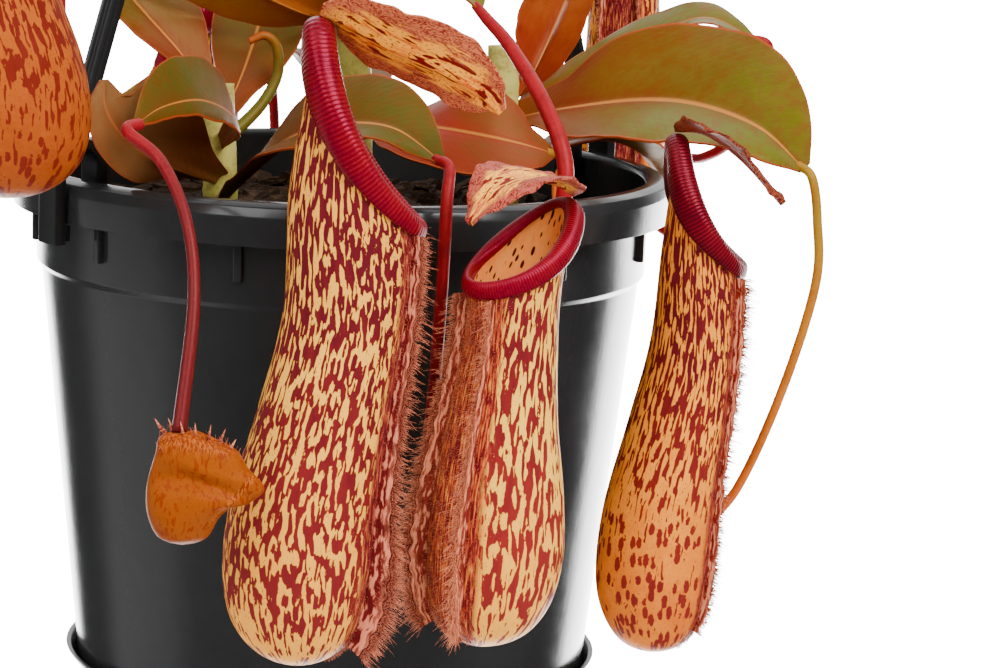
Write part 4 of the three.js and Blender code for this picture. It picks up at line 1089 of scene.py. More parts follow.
@dataclass
class Saucer:
    """The clip-on saucer with four carrying ribs."""

    height: float = 12.5
    lip_radius: float = 70.0
    foot_radius: float = 58.0
    wall: float = 1.3
    floor: float = 1.8

    def build(self, pot: Pot) -> None:
        """Makes the saucer round the pot's foot."""
        outside = [(self.foot_radius, 0), (self.foot_radius + 4, 2.2),
                   (pot.wall_foot + 0.2, pot.foot + 0.8), (pot.wall_foot + 1.9, pot.foot + 3),
                   (self.lip_radius, self.height)]
        inside = [(r - self.wall, z) for r, z in outside[1:]][::-1]
        outline = [(0, 0), *outside, *inside, (self.foot_radius, self.floor), (0, self.floor)]
        low, high = (30, -1, self.floor - 1), (56, 1, pot.foot - CLEAR)
        ribs = [rounded_block(low, high, 0.3).turned(90 * (n + 0.5)) for n in range(4)]
        add_piece("saucer", [turned_body(outline, 192, 0.3), *ribs], ["pot_plastic"],
                  35)


def profile_along(rows: Rows, section: Array, steps: int) -> Skin:
    """A flat section carried along a path in the plane y = 0.

    Args:
        rows: knots of the path.
        section: points of the section as (along y, out of the path) pairs, once round.
        steps: rings less one.

    Returns:
        The closed body.
    """
    s = np.linspace(0, 1, steps + 1)
    centre, forward = along(rows, s), heading_of(rows, s)
    across = np.array([0.0, 1.0, 0.0])
    out = unit(np.cross(across, forward))
    return lofted(centre[:, None] + across * section[None, :, 0:1]
                  + out[:, None] * section[None, :, 1:2])


@dataclass
class Bail:
    """The two-legged bail: ribbed straps, clips over the rim, crown and hook."""

    azimuth: float = 38.5
    apex: float = 398.0
    strap_foot: float = 149.5
    strap_width: float = 8.0
    strap_thickness: float = 3.0
    crook_radius: float = 15.0
    crook_centre: float = 421.0
    crook_from: float = -25.0
    crook_turn: float = 220.0
    hook_radius: float = 3.2
    arch_radius: float = 5.9
    clip_width: float = 8.8
    clip_thickness: float = 3.2

    def section(self) -> Array:
        """The strap's section: a rounded flat with a raised middle rib."""
        h, t = self.strap_width / 2, self.strap_thickness
        flat = np.array([(-h, -0.5 * t), (h, -0.5 * t), (h, 0.1 * t), (1.3, 0.25 * t),
                         (1, 0.5 * t), (-1, 0.5 * t), (-1.3, 0.25 * t), (-h, 0.1 * t)])
        cut = [flat + unit(np.roll(flat, shift, 0) - flat) * 0.3 for shift in (1, -1)]
        return np.stack(cut, 1).reshape(-1, 2)

    def clip(self, middle: float, spring: float, outer_end: float, inner_end: float) -> Skin:
        """The round-topped clip over the rim: a flat bar along an upside-down U.

        Args:
            middle: the arch's centre, from the axis.
            spring: the height where the arch starts.
            outer_end: the lower end of the outer leg.
            inner_end: the lower end of the inner leg.

        Returns:
            The bar.
        """
        radius, turn = self.arch_radius, np.linspace(0, math.pi, 13)
        arch = [(middle + radius * math.cos(a), 0, spring + radius * math.sin(a)) for a in turn]
        outer = [(middle + radius, 0, z) for z in np.linspace(outer_end, spring - 1.5, 12)]
        inner = [(middle - radius, 0, z) for z in np.linspace(spring - 1.5, inner_end, 10)]
        square = np.stack([np.sign(side) * np.abs(side) ** 0.3 * size / 2 for side, size in (
            (np.cos(circle(24)), self.clip_width), (np.sin(circle(24)), self.clip_thickness))], -1)
        return profile_along([*outer, *arch, *inner], square, 90)

    def build(self, pot: Pot) -> None:
        """Makes both halves, the crown and the hook."""
        r, top, bottom, h = pot.rim_radius, pot.rim_top, pot.band_bottom, self.strap_width / 2
        skins: list[Skin] = []
        for turn in (0.0, 180.0):
            half = [self.clip(r - 3.9, top + 3, bottom - 5, top - 12),
                    rounded_block((r - 1.2, -3.4, bottom - 4.4), (r + 2, 3.4, bottom - CLEAR),
                                  0.3),
                    profile_along([(r - 3.4, 0, self.strap_foot), (6, 0, self.apex)],
                                  self.section(), 2)]
            skins += [skin.turned(turn + self.azimuth) for skin in half]
        crown = rounded_block((-9, -h, self.apex - 7), (9, h, self.apex + 3), 1.2)
        angles = np.radians(self.crook_from + np.arange(9) * self.crook_turn / 8)
        turns = [(self.crook_radius * math.cos(a), 0,
                  self.crook_centre + self.crook_radius * math.sin(a)) for a in angles]
        radii = [self.hook_radius, self.hook_radius, self.hook_radius * 0.8]
        hook = tube([(0, 0, self.apex), (3, 0, self.apex + 6), *turns], radii, 20, 90)
        hook.marks.clear()
        skins += [skin.turned(self.azimuth) for skin in (crown, hook)]
        add_piece("bail", skins, ["bail_plastic"], 35)


# ---------------------------------------------------------------- planting


@dataclass
class Bark:
    """The planting mix: a lumpy bed with loose chips in and on it."""

    top: float = 126.0
    radius: float = 75.4
    wall: tuple = ((62.6, 74.9), (10.1, 111.2))
    chips_within: float = 71.5
    chip_ends_within: float = 75.0
    bed_tone: float = 0.15
    chips: int = 420
    seed: int = 41

    def height(self, r: Array, a: Array) -> Array:
        """The bed's height: its level plus two crossed ripples, lower at the edge."""
        ripple = 1.6 * np.sin(r / 9 + 2 * a) * np.cos(3 * a - r / 17)
        return self.top + ripple - 1.5 * (r > 69)

    def bed(self) -> Skin:
        """The filled body, lathed with a lumpy upper side."""
        a = circle(120)[None, :]
        r = np.concatenate([[self.radius], np.linspace(74, 1.5, 40)])[:, None]
        lump = 0.7 * np.sin(r * 1.1 + 5 * a) * np.sin(7 * a - r * 0.6) * (r < 73)
        upper = stacked(r * np.cos(a), r * np.sin(a), self.height(r, a) + lump - 0.8)
        wall, z = np.array(self.wall)[..., None]
        lower = stacked(wall * np.cos(a), wall * np.sin(a), z)
        rows = np.concatenate([lower, upper])
        return lofted(rows, {"run": np.broadcast_to([self.bed_tone, 0, 0], rows.shape)})

    def chip(self, rng: np.random.Generator, place: int) -> Skin:
        """One chip: a bent, tapering slab with rough ends.

        Args:
            rng: the seeded source of numbers.
            place: the chip's number, which sets where it lies by the golden angle.

        Returns:
            The chip.
        """
        long, wide, thick = rng.uniform(6, 17), rng.uniform(3.5, 8), rng.uniform(1.2, 3)
        x = np.linspace(-0.5, 0.5, 5)[:, None]
        ring = np.array([[-1, -1], [0.1, -1.1], [1, -0.9], [1, 0.8], [0.1, 1.1], [-1, 0.9]])
        taper = 1 - 0.5 * np.abs(x * 2) ** 3 * rng.uniform(0.3, 1.0)
        jitter = rng.uniform(0.8, 1.15, (5, 6))
        rows = stacked(
            x * long + rng.uniform(-0.8, 0.8, (5, 6)), ring[None, :, 0] * wide / 2 * taper * jitter,
            ring[None, :, 1] * thick / 2 * taper + 0.8 * np.sin(x * 3) * rng.uniform(-1, 1))
        r = self.chips_within * math.sqrt((place + 0.5) / self.chips)
        a = place * GOLDEN_ANGLE
        tilt, roll, turn = rng.normal(0, 0.28), rng.normal(0, 0.3), rng.uniform(0, TURN)
        spin = np.array(Matrix.Rotation(turn, 3, "Z") @ Matrix.Rotation(tilt, 3, "Y")
                        @ Matrix.Rotation(roll, 3, "X"))
        level = float(self.height(np.array(r), np.array(a))) + rng.uniform(-0.6, 1.6)
        at = np.array([r * math.cos(a), r * math.sin(a), level])
        points = rows @ spin.T + at
        reach = np.maximum(np.hypot(points[..., 0], points[..., 1]), 1e-6)
        points[..., :2] *= np.minimum(1.0, self.chip_ends_within / reach)[..., None]
        own = [rng.uniform(0, 1), 0, 0]
        return lofted(points, {"run": np.broadcast_to(own, points.shape)})

    def build(self) -> None:
        """Makes the bed and the chips."""
        rng = np.random.default_rng(self.seed)
        skins = [self.bed(), *(self.chip(rng, n) for n in range(self.chips))]
        add_piece("bark_mix", skins, ["bark_brown"], 40, name="bark_fine")


@dataclass(frozen=True)
class Stem:
    """An upright stem: knots, radii and the distance between its joints."""

    name: str
    path: Rows
    radii: Sequence[float]
    joints: float = 14.0

    def build(self) -> None:
        """Makes the stem with a slight swelling at each joint."""
        skin = tube(self.path, self.radii, 24, 60)
        run = skin.marks["run"]
        centre = along(self.path, run[:, 0])
        swell = 1 + 0.05 * np.maximum(0, np.cos(run[:, 2] * TURN / self.joints)) ** 8
        skin.points = centre + (skin.points - centre) * swell[:, None]
        add_piece(self.name, [skin], ["stem_green"])


STEMS = {stem.name: stem for stem in (
    Stem("stem_left", [[-30, -14, 106], [-31, -15, 140], [-32, -14, 161]], [4.6, 4]),
    Stem("stem_right", [[42, 4, 106], [41, 3, 140], [40, 4, 172]], [4.4, 4]),
    Stem("stem_tall", [[2, 18, 106], [1, 16, 160], [-4, 12, 215], [-10, 6, 262]], [5, 4.4, 3.4]),
)}


@dataclass
class Blade:
    """A leaf or lid: a keeled plate with the midrib along a path.

    The widths on both sides are given at even shares of the length, the rise of both sides
    in degrees, and start is the share where the plate begins.
    """

    path: Rows
    face: Rows
    left: Sequence[float]
    right: Sequence[float]
    rise: tuple[float, float] = (0.0, 0.0)
    wave: float = 0.0
    waves: float = 3.0
    rib: float = 0.8
    bulge: float = 0.0
    ruffle: float = 0.0
    start: float = 0.0

    def skins(self, steps: int, across: int, finishes: tuple[int, int]) -> list[Skin]:
        """Works the plate out on a grid.

        At share s along and v across, the point is the midrib's, moved sideways by
        width |v| cos(rise) and up by width |v| sin(rise) + wave v^2 sin(2 pi waves s) +
        bulge width |v| (1 - |v|), plus a frill of two short waves that grows with |v|^3.
        The plate thins to the margin, and a ridge of Gaussian section runs under the midrib.

        Args:
            steps: rows along, less one.
            across: columns on each side of the midrib.
            finishes: finish numbers of the upper and the lower face.

        Returns:
            The skins of the plate.
        """
        s = np.linspace(self.start, 1, steps + 1)
        v = np.linspace(-1, 1, 2 * across + 1)
        v = np.sign(v) * np.abs(v) ** 0.85
        faces = self.face if len(self.face) > 1 else [self.face[0], self.face[0]]
        forward, centre, up = heading_of(self.path, s), along(self.path, s), along(faces, s)
        up = unit(up - forward * dot(up, forward))
        side = np.cross(forward, up)
        widths = [smooth_one(w, s * (len(w) - 1)) for w in (self.left, self.right)]
        reach, sv = np.abs(v)[None, :], s[:, None]
        width = np.where(v[None, :] < 0, widths[0][:, None], widths[1][:, None])
        rise = np.radians(np.where(v < 0, self.rise[0], self.rise[1]))[None, :]
        ripple = self.wave * reach**2 * np.sin(TURN * self.waves * sv + np.where(v < 0, 1.3, 0))
        frill = self.ruffle * reach**3 * (np.sin(37 * sv + 2 * v) + 0.6 * np.sin(61 * sv - v))
        lift = width * reach * (np.sin(rise) + self.bulge * (1 - reach)) + ripple + frill
        out = np.sign(v)[None, :] * width * reach * np.cos(rise)
        middle = centre[:, None] + side[:, None] * out[..., None] + up[:, None] * lift[..., None]
        half = BLADE / 2 * (1 - 0.45 * reach**4) * np.ones_like(width)
        ridge = self.rib * np.exp(-((width * reach / 1.1) ** 2)) * (1 - 0.4 * sv)
        top = middle + up[:, None] * half[..., None]
        bottom = middle - up[:, None] * (half + ridge)[..., None]
        flow = stacked(sv * lengths_along(centre)[-1], width * v, 0.0)
        sides = tuple(stacked(sv, v[None, :], below) for below in (0.0, 1.0))
        return plate(top, bottom, {"blade": sides, "flow": (flow, flow)}, finishes)


@dataclass
class Leaf:
    """One leaf: its stem, its height on it, midrib, facing, widths and lift."""

    name: str
    stem: str
    height: float
    path: Rows
    face: Rows
    wide: tuple[float, float]
    rise: tuple[float, float] = (0.0, 0.0)
    wave: float = 0.0
    top: str = "leaf_top"
    under: str = "leaf_under"
    bulge: float = 0.1
    slot: str = "leaf"

    def midrib(self) -> Rows:
        """The midrib's knots, starting inside the stem's skin at the leaf's own height."""
        stem = STEMS[self.stem]
        shares = np.arange(0, 1, 0.005)
        share = float(shares[np.argmax(along(stem.path, shares)[:, 2] >= self.height)])
        axis = along(stem.path, np.array(share))
        way = unit(np.array([self.path[0][0] - axis[0], self.path[0][1] - axis[1], 0.0]))
        radius = float(smooth_one(stem.radii, np.array(share * (len(stem.radii) - 1))))
        root = axis + way * radius * 0.8
        return [[root[0], root[1], self.height], *self.path]

    def blade(self) -> Blade:
        """The leaf as a blade."""
        shares = (0.2, 0.42, 0.8, 1, 1, 0.86, 0.52, 0.09)
        left, right = ([k * w for k in shares] for w in self.wide)
        return Blade(self.midrib(), self.face, left, right, self.rise, self.wave,
                     bulge=self.bulge, ruffle=0.12)

    def build(self) -> None:
        """Makes the leaf."""
        add_piece(self.name, self.blade().skins(72, 15, (0, 1)), [self.top, self.under],
                  60)


LEAVES = {leaf.name: leaf for leaf in (
    Leaf("leaf_right_large", "stem_right", 153,
         [[57, -11, 157.4], [75, -22, 161.2], [89.5, -34, 161.7], [103.5, -48, 158],
          [113.5, -59, 150]],
         [[-0.1, -0.3, 1], [-0.1, -0.3, 1], [0.1, -0.3, 1]], (23, 19), (38, -8), 0.5),
    Leaf("leaf_middle", "stem_tall", 146,
         [[14, -8, 151], [24, -22, 152.5], [36, -27, 151.5], [46, -26, 149.5],
          [53.7, -22, 147]], [[0, -0.75, 1]], (15, 14), (12, 0), 0.4, top="leaf_warm"),
    Leaf("leaf_front", "stem_left", 133,
         [[-22, -31, 141], [-11, -45, 151], [2, -55, 156], [15, -66, 156.5], [26.5, -80, 151]],
         [[0, -0.4, 1], [0.1, -0.45, 1]], (16, 11), (30, 0), 0.4, top="leaf_shaded"),
    Leaf("leaf_looped", "stem_left", 146,
         [[-24.9, -36, 152.3], [-27.2, -50, 157.9], [-32.2, -66, 161.5], [-39, -80, 161],
          [-43.9, -92, 158]],
         [[0.3, -0.2, 1], [0.25, -0.3, 1]], (3.5, 12), (-50, 48), 0.3, top="leaf_shaded"),
    Leaf("leaf_curled", "stem_left", 137,
         [[-38.9, -42, 142.6], [-43.8, -60, 147], [-49.2, -72, 152.9], [-53.1, -77, 160.3],
          [-53.5, -77, 167]],
         [[-0.2, 0.5, 0.8], [-0.6, 0.75, 0.1], [-0.65, 0.75, 0]], (20, 7), (12, 0),
         top="leaf_fresh", under="leaf_brown", slot="flushed_leaf"),
    Leaf("leaf_upper_left", "stem_left", 158,
         [[-42, -8, 167], [-51, -5, 176], [-59, -5, 184], [-67, -8, 189], [-74, -12, 187]],
         [[0.5, -0.75, 0.6], [0.3, -0.7, 0.8]], (9, 15), (15, 15)),
    Leaf("leaf_behind_left", "stem_left", 152,
         [[-27, 3, 163], [-24, 14, 175], [-22, 26, 185], [-20, 36, 190]],
         [[0.1, -0.8, 0.6]], (12, 12), (10, 10), top="leaf_shaded"),
    Leaf("leaf_top_left", "stem_tall", 176,
         [[-14, 0, 180], [-30, -11, 188], [-46, -18, 196], [-58, -22, 201]],
         [[0, 0.9, 0.5]], (13, 13), (8, 8), top="leaf_gold", under="leaf_gold",
         slot="flushed_leaf"),
    Leaf("leaf_long", "stem_tall", 190,
         [[10, -4, 195], [20, -20, 194], [28, -32, 190], [34, -40, 184]],
         [[0.3, -0.2, 1]], (11, 11), (15, 15)),
    Leaf("leaf_back_red", "stem_right", 157,
         [[47, 14, 164], [51, 18, 172], [55, 20, 182], [59, 21, 192], [63, 22, 199]],
         [[-0.3, 0.7, 0.5]], (11, 11), (8, 8), top="leaf_red", under="leaf_red",
         slot="flushed_leaf"),
    Leaf("leaf_back_right", "stem_right", 150,
         [[50, 14, 155], [62, 19, 161], [76, 18, 172], [92, 14, 180], [106, 11, 175]],
         [[0, -0.3, 1]], (12, 12), (12, 12)),
    Leaf("leaf_low_right", "stem_right", 142,
         [[58, 14, 146], [70, 22, 147], [80, 28, 142], [86, 32, 134]],
         [[0, 0, 1]], (11, 11), (10, 10)),
    Leaf("leaf_low_left", "stem_left", 141,
         [[-50, 2, 148], [-66, 14, 150], [-82, 24, 147], [-92, 31, 139]],
         [[0, 0, 1]], (12, 12), (10, 10)),
    Leaf("leaf_back", "stem_tall", 148,
         [[0, 38, 157], [-4, 56, 162], [-8, 74, 159], [-10, 88, 150]],
         [[0, -0.1, 1]], (14, 14), (12, 12)),
    Leaf("leaf_back_left", "stem_tall", 168,
         [[-9, 40, 179], [-18, 57, 184], [-25, 70, 181], [-29, 79, 174]],
         [[0, -0.1, 1]], (12, 12), (12, 12)),
    Leaf("leaf_back_tall", "stem_tall", 205,
         [[9, 34, 218], [21, 53, 229], [38, 68, 233], [54, 76, 229]],
         [[0.2, -0.4, 1]], (12, 12), (12, 12)),
    Leaf("leaf_high_left", "stem_tall", 240,
         [[-9, -18, 256], [-17, -42, 267], [-36, -64, 271], [-54, -74, 264]],
         [[0, -0.2, 1]], (12, 12), (12, 12)),
    Leaf("leaf_high_right", "stem_tall", 222,
         [[18, 4, 233], [36, -4, 237], [53, -14, 233], [65, -23, 223]],
         [[0, -0.2, 1]], (13, 13), (12, 12)),
    Leaf("leaf_crown", "stem_tall", 256,
         [[-2, -3, 268], [4, -14, 280], [9, -26, 286]], [[-0.3, -0.6, 1]], (8, 8), (15, 15),
         top="leaf_fresh"),
)}


# ---------------------------------------------------------------- pitchers


@dataclass(frozen=True)
class Form:
    """A pitcher's outline: [x, z] rows behind and in front, half widths, mouth sag.

    The drape is how far the lip hangs down at the back, and wing is a wing's reach at each
    station.
    """

    back: Rows
    front: Rows
    half: Sequence[float]
    sag: float
    drape: float
    wing: Sequence[float]


TALL = Form([[0, 0], [-9.5, 2.8], [-16.2, 10.5], [-18.6, 23], [-16.8, 40], [-10.8, 61],
             [-5.4, 84], [-4.6, 113], [1.4, 147]],
            [[0, 0], [9.5, 2.8], [15.8, 10], [18.8, 23], [20, 40], [22.3, 60], [24.6, 77],
             [26.3, 91.5], [26.8, 102.5]],
            [0, 9.5, 14.8, 17.2, 17, 15.4, 14, 13.4, 13], 5.5, 5,
            [5, 6, 9, 10.2, 7.6, 5.8, 5.4, 5.2, 4.8])
ROUND = Form([[3, 0], [-7, 2.5], [-13.5, 10], [-15.8, 22], [-14.6, 37], [-11.5, 54],
              [-10.2, 71], [-10.8, 88], [-13.4, 103]],
             [[3, 0], [10.5, 3.3], [15, 10], [16.2, 22], [15.8, 36], [14, 51], [12, 64],
              [10.8, 75], [11.4, 85.5]],
             [0, 9, 14, 16.3, 15.8, 14.4, 12.8, 11.8, 11.6], 2, 1,
             [4, 5, 7, 8.6, 7.6, 6, 5.2, 4.8, 4])
SLIM = Form([[0, 0], [-8.4, 2.6], [-13.8, 11], [-15.3, 22], [-13.6, 38], [-8.6, 58], [-4, 78],
             [-2.2, 101], [0.4, 125]],
            [[0, 0], [7.8, 2.6], [12.2, 10.5], [13.8, 22], [14.8, 37], [16.4, 55], [17.2, 70],
             [17.4, 83], [17.8, 95.5]],
            [0, 8.4, 13, 15, 14.6, 13, 12, 11.6, 11.6], 4, 4,
            [2.4, 2.8, 3.4, 4, 3.6, 3.6, 4.4, 5.2, 5.4])


class CupStyle(Enum):
    """Looks of a grown pitcher: cup, fringe, lip, lid and record slot."""

    CREAM = ("cup_cream", "fringe_red", "lip_crimson", "lid_yellow", "cream_cup")
    YELLOW = ("cup_yellow", "fringe_tan", "lip_crimson", "lid_pink", "cream_cup")
    ORANGE = ("cup_orange", "fringe_orange", "lip_dark", "lid_brown", "orange_cup")
    RED = ("cup_red", "fringe_orange", "lip_dark", "lid_yellow", "orange_cup")


@dataclass
class Pitcher:
    """A grown pitcher: wall, two furry wings, ribbed lip and lid."""

    name: str
    form: Form
    at: Sequence[float]
    heading: float
    size: tuple[float, float]
    lean: float
    style: CupStyle
    lid_path: Rows
    lid_face: Rows
    lid_wide: float
    ribs: float = 1.0
    hairs: int = 700
    seed: int = 1
    lip_width: tuple[float, float] = (0.6, 1.05)
    wing_span: tuple[float, float] = (1.55, STATIONS - 0.2)

    def placed(self, p: Array) -> Array:
        """Turns points by the heading and moves them to the pitcher's place."""
        return turned_about_z(p, self.heading) + np.asarray(self.at, dtype=float)

    def skin(self, u: Array, angle: Array) -> Array:
        """A point of the outer skin in the pitcher's own frame.

        The front and back outlines are read at station u, and the point lies between them
        by the cosine of the angle and sideways by the half width times the sine. Near the
        mouth the sides sag and the back narrows with the square of the distance.

        Args:
            u: stations from 0 at the foot to the mouth.
            angle: radians, 0 at the front.

        Returns:
            The points.
        """
        form = self.form
        back = smooth([form.front[1], *form.back], u + 1)
        front = smooth([form.back[1], *form.front], u + 1)
        width = smooth_one([-form.half[1], *form.half], u + 1)
        c = np.cos(angle)
        late = np.maximum(0.0, (u - STATIONS + 2) / 2)
        dip = form.sag * late**2 * (1 - c * c)
        gap = front - back
        slope = np.hypot(gap[..., 0], gap[..., 1]) + 1e-9
        narrow = 1 - 0.25 * ((1 - c) / 2) ** 2 * late
        middle = (front + back) / 2 + gap * (c / 2)[..., None]
        x = middle[..., 0] + dip * gap[..., 1] / slope
        z = middle[..., 1] - dip * gap[..., 0] / slope
        y = np.sin(angle) * width * narrow
        return np.stack([x * self.size[0], y * self.size[0] + self.lean * z * self.size[1],
                         z * self.size[1]], -1)

    def frames(self, u: Array, angle: Array) -> tuple[Array, Array]:
        """The way the skin runs up and its outward normal, from short chords."""
        low = np.minimum(u, STATIONS - 0.01)
        up = unit(self.skin(low + 0.01, angle) - self.skin(low - 0.01, angle))
        round_ = self.skin(u, angle + 0.01) - self.skin(u, angle - 0.01)
        return up, unit(np.cross(round_, up))

    def cup(self) -> Skin:
        """The wall: outer skin, mouth edge and inner skin as one closed body."""
        angle = circle(128)[None, :]
        outer_u = STATIONS * np.linspace(0.012, 1, 150)[:, None] ** 0.92
        inner_u = STATIONS * np.linspace(1, 0.04, 50)[:, None]
        outer_u, oa = np.broadcast_arrays(outer_u, angle)
        inner_u, ia = np.broadcast_arrays(inner_u, angle)
        outer, inner = self.skin(outer_u, oa), self.skin(inner_u, ia)
        _, out = self.frames(inner_u, ia)
        inner = inner - out * CUP_WALL
        rows = np.concatenate([outer, inner])
        u = np.concatenate([outer_u, inner_u])
        a = np.concatenate([oa, ia])
        front = np.zeros(len(u))
        middle_line = (self.skin(u[:, 0], front) + self.skin(u[:, 0], front + math.pi)) / 2
        length = np.interp(u[:, 0], outer_u[:, 0], lengths_along(middle_line)[:len(outer_u)])
        radius = 14.0 * self.size[0]
        flow = stacked(radius * np.cos(a) + 100.0 * self.seed, radius * np.sin(a),
                       length[:, None])
        off = np.abs((a + math.pi) % TURN - math.pi)
        near = 1 - ramp(0.62, 1.35, off / WING * 0.62)
        inside = np.concatenate([np.zeros_like(oa), np.ones_like(ia)])
        cup = stacked(near, u / STATIONS, inside)
        return lofted(self.placed(rows), {"flow": flow, "cup": cup})

    def wing(self, side: int, rng: np.random.Generator) -> list[Skin]:
        """A furry wing: a thin ragged sheet and its bristles.

        The sheet is a closed section of eight points carried up the cup; its reach is the
        smooth profile plus small seeded steps. The bristles stand along its margin and
        lie over its two sides.

        Args:
            side: 1 or -1, for the left or the right wing.
            rng: the seeded source of numbers.

        Returns:
            The sheet and the bristles.
        """
        angle = side * WING
        u = np.linspace(*self.wing_span, 170)
        a = np.full_like(u, angle)
        root = self.skin(u, a)
        up, out = self.frames(u, a)
        across = np.cross(up, out)
        ragged = np.convolve(rng.normal(0, 0.55, len(u) + 4), np.ones(5) / 5, "valid")
        whole = smooth_one(self.form.wing, u) * (0.92 + 0.06 * np.sin(u * 21))
        reach = whole * 0.5 + ragged * 0.6
        curl = 0.12 * np.sin(u * 3.1 + side)[:, None]
        shape = np.array([[-0.6, -0.45], [-0.6, 0.45], [0.35, 0.34], [0.8, 0.22], [1.0, 0.08],
                          [1.0, -0.08], [0.8, -0.22], [0.35, -0.34]])
        share = np.maximum(shape[None, :, 0:1], 0)
        inner = np.minimum(shape[None, :, 0:1], 0)
        wide = reach[:, None, None]
        rows = (root[:, None] + out[:, None] * (share * wide + inner)
                + across[:, None] * (shape[None, :, 1:2] + curl[:, None] * share**2 * wide))
        run = stacked(share[..., 0] * 0.55, root[:, None, 2] + 50.0 * self.seed,
                      shape[None, :, 1])
        sheet = lofted(self.placed(rows), {"run": run}, finish=1)
        count = self.hairs
        place = rng.uniform(*self.wing_span, count)
        depth = np.where(rng.uniform(0, 1, count) < 0.6, 1.0, rng.uniform(0, 1, count))
        full = np.interp(place, u, reach)
        rest = np.interp(place, u, whole - reach)
        pa = np.full(count, angle)
        hup, hout = self.frames(place, pa)
        hacross = np.cross(hup, hout)
        lean = rng.normal(0, 1, (count, 3))
        ways = unit(hout * (0.6 + 0.6 * depth[:, None]) + hacross * lean[:, :1] * 0.45
                    + hup * lean[:, 1:2] * 0.25)
        roots = self.skin(place, pa) + hout * (full * depth)[:, None]
        lengths = np.where(depth > 0.99, rest * rng.uniform(0.6, 1.15, count),
                           rng.uniform(0.8, 1.9, count))
        long = rng.uniform(0, 1, count) < 0.08
        lengths = np.where(long & (depth > 0.99), lengths + rng.uniform(1.5, 3.5, count), lengths)
        droop = stacked(0.0, 0.0, -0.2 * lengths)
        hairs = spikes(self.placed(roots), turned_about_z(ways, self.heading), lengths,
                       rng.uniform(0.06, 0.11, count), droop)
        return [sheet, hairs]

    def fur(self, rng: np.random.Generator) -> Skin:
        """Short hairs lying on the strip between the wings and just outside them."""
        count = self.hairs * 2
        u = rng.uniform(0.8, STATIONS - 0.25, count)
        a = rng.normal(0, 1, count) * WING * 0.75
        up, out = self.frames(u, a)
        across = np.cross(up, out)
        lean = rng.normal(0, 1, (count, 2))
        ways = unit(out * 0.8 + across * lean[:, :1] * 0.5 + up * (lean[:, 1:] * 0.5 - 0.2))
        lengths = rng.uniform(0.5, 1.3, count)
        return spikes(self.placed(self.skin(u, a)), turned_about_z(ways, self.heading), lengths,
                      rng.uniform(0.05, 0.085, count))

    def lip(self) -> Skin:
        """The rolled lip: a closed smooth section carried round the mouth, with ribs.

        A rib raises the rolled part of the section by the square root of a cosine of the
        distance round the mouth. Towards the back the section drapes further down.
        """
        angle = circle(640)
        top = np.full(len(angle), float(STATIONS))
        edge = self.skin(top, angle)
        round_ = unit(np.roll(edge, -1, 0) - np.roll(edge, 1, 0))
        up = edge - self.skin(top * 8 / 9, angle)
        up = unit(up - round_ * dot(up, round_))
        out = np.cross(round_, up)
        back = (1 - np.cos(angle)) / 2
        drape = 1.4 + self.form.drape * back
        slim, full = self.lip_width
        broad = slim + (full - slim) * ramp(0.0, 0.75, back)
        tall = 0.5 + 0.5 * broad
        one = np.ones(len(angle))
        knots = [(0.35 * one, -drape), (1.5 * broad, -drape - 0.6),
                 (3.3 * broad, -0.55 * drape - 0.6), (4.0 * broad, 0.3 * one),
                 (3.0 * broad, 2.3 * tall), (0.9 * broad, 3.3 * tall),
                 (-1.6 * broad, 3.1 * tall), (-3.2 * broad, 1.9 * tall),
                 (-3.6 * broad, 0.4 * one), (-2.9 * broad, 0.0 * one),
                 (-1.7 * one, 0.5 * one), (-0.2 * one, 0.8 * one)]
        table = np.array([[k[0], k[1]] for k in knots]).transpose(2, 0, 1)
        n = len(knots)
        turn = np.linspace(0, n, 40, endpoint=False)
        i = np.floor(turn).astype(int)
        section = bend(*(table[:, (i + k) % n] for k in (-1, 0, 1, 2)), (turn - i)[None, :, None])
        around = lengths_along(np.vstack([edge, edge[:1]]))
        count = max(20, round(around[-1] / self.ribs))
        wave = 0.5 + 0.5 * np.cos(TURN * count * around[:-1] / around[-1])
        rib = np.sqrt(wave)[:, None]
        rolled = (ramp(0.6, 1.6, turn) * (1 - ramp(8.2, 9.2, turn)))[None, :]
        grow = unit(section - np.array([0.2, 0.6]))
        section = section + grow * (0.06 + 0.08 * self.ribs) * (rib * rolled)[..., None]
        rows = edge[:, None] + out[:, None] * section[..., 0:1] + up[:, None] * section[..., 1:2]
        lip = stacked(rib, turn[None, :] / n, back[:, None])
        return lofted(self.placed(rows), {"lip": lip}, ring=True)

    def lid(self) -> list[Skin]:
        """The lid as a thin ruffled blade that starts at the back of the lip."""
        u, a = np.array([float(STATIONS)]), np.array([math.pi])
        up, _ = self.frames(u, a)
        root = (self.skin(u, a) + up * 4.8)[0]
        shares = (0.22, 0.62, 0.95, 1, 0.86, 0.55, 0.12)
        widths = [k * self.lid_wide for k in shares]
        first = np.asarray(self.lid_path[0]) + root
        path = [(np.asarray(k) + root).tolist() for k in self.lid_path]
        path[0] = (first - unit(np.asarray(path[1]) - first) * 0.5 - up[0] * 0.7).tolist()
        blade = Blade(path, self.lid_face, widths, widths, (8, 8), 0.8, 2, 0.5, 0.12, 0.28)
        skins = blade.skins(64, 14, (0, 0))
        for skin in skins:
            skin.points = self.placed(skin.points)
        return skins

    def build(self) -> None:
        """Makes the cup with its wings, the lip and the lid."""
        rng = np.random.default_rng(self.seed)
        cup, fringe, lip, lid, slot = self.style.value
        skins = [self.cup(), *self.wing(1, rng), *self.wing(-1, rng), self.fur(rng)]
        add_piece(f"{self.name}_cup", skins, [cup, fringe], 60)
        add_piece(f"{self.name}_lip", [self.lip()], [lip])
        add_piece(f"{self.name}_lid", self.lid(), [lid], 60)


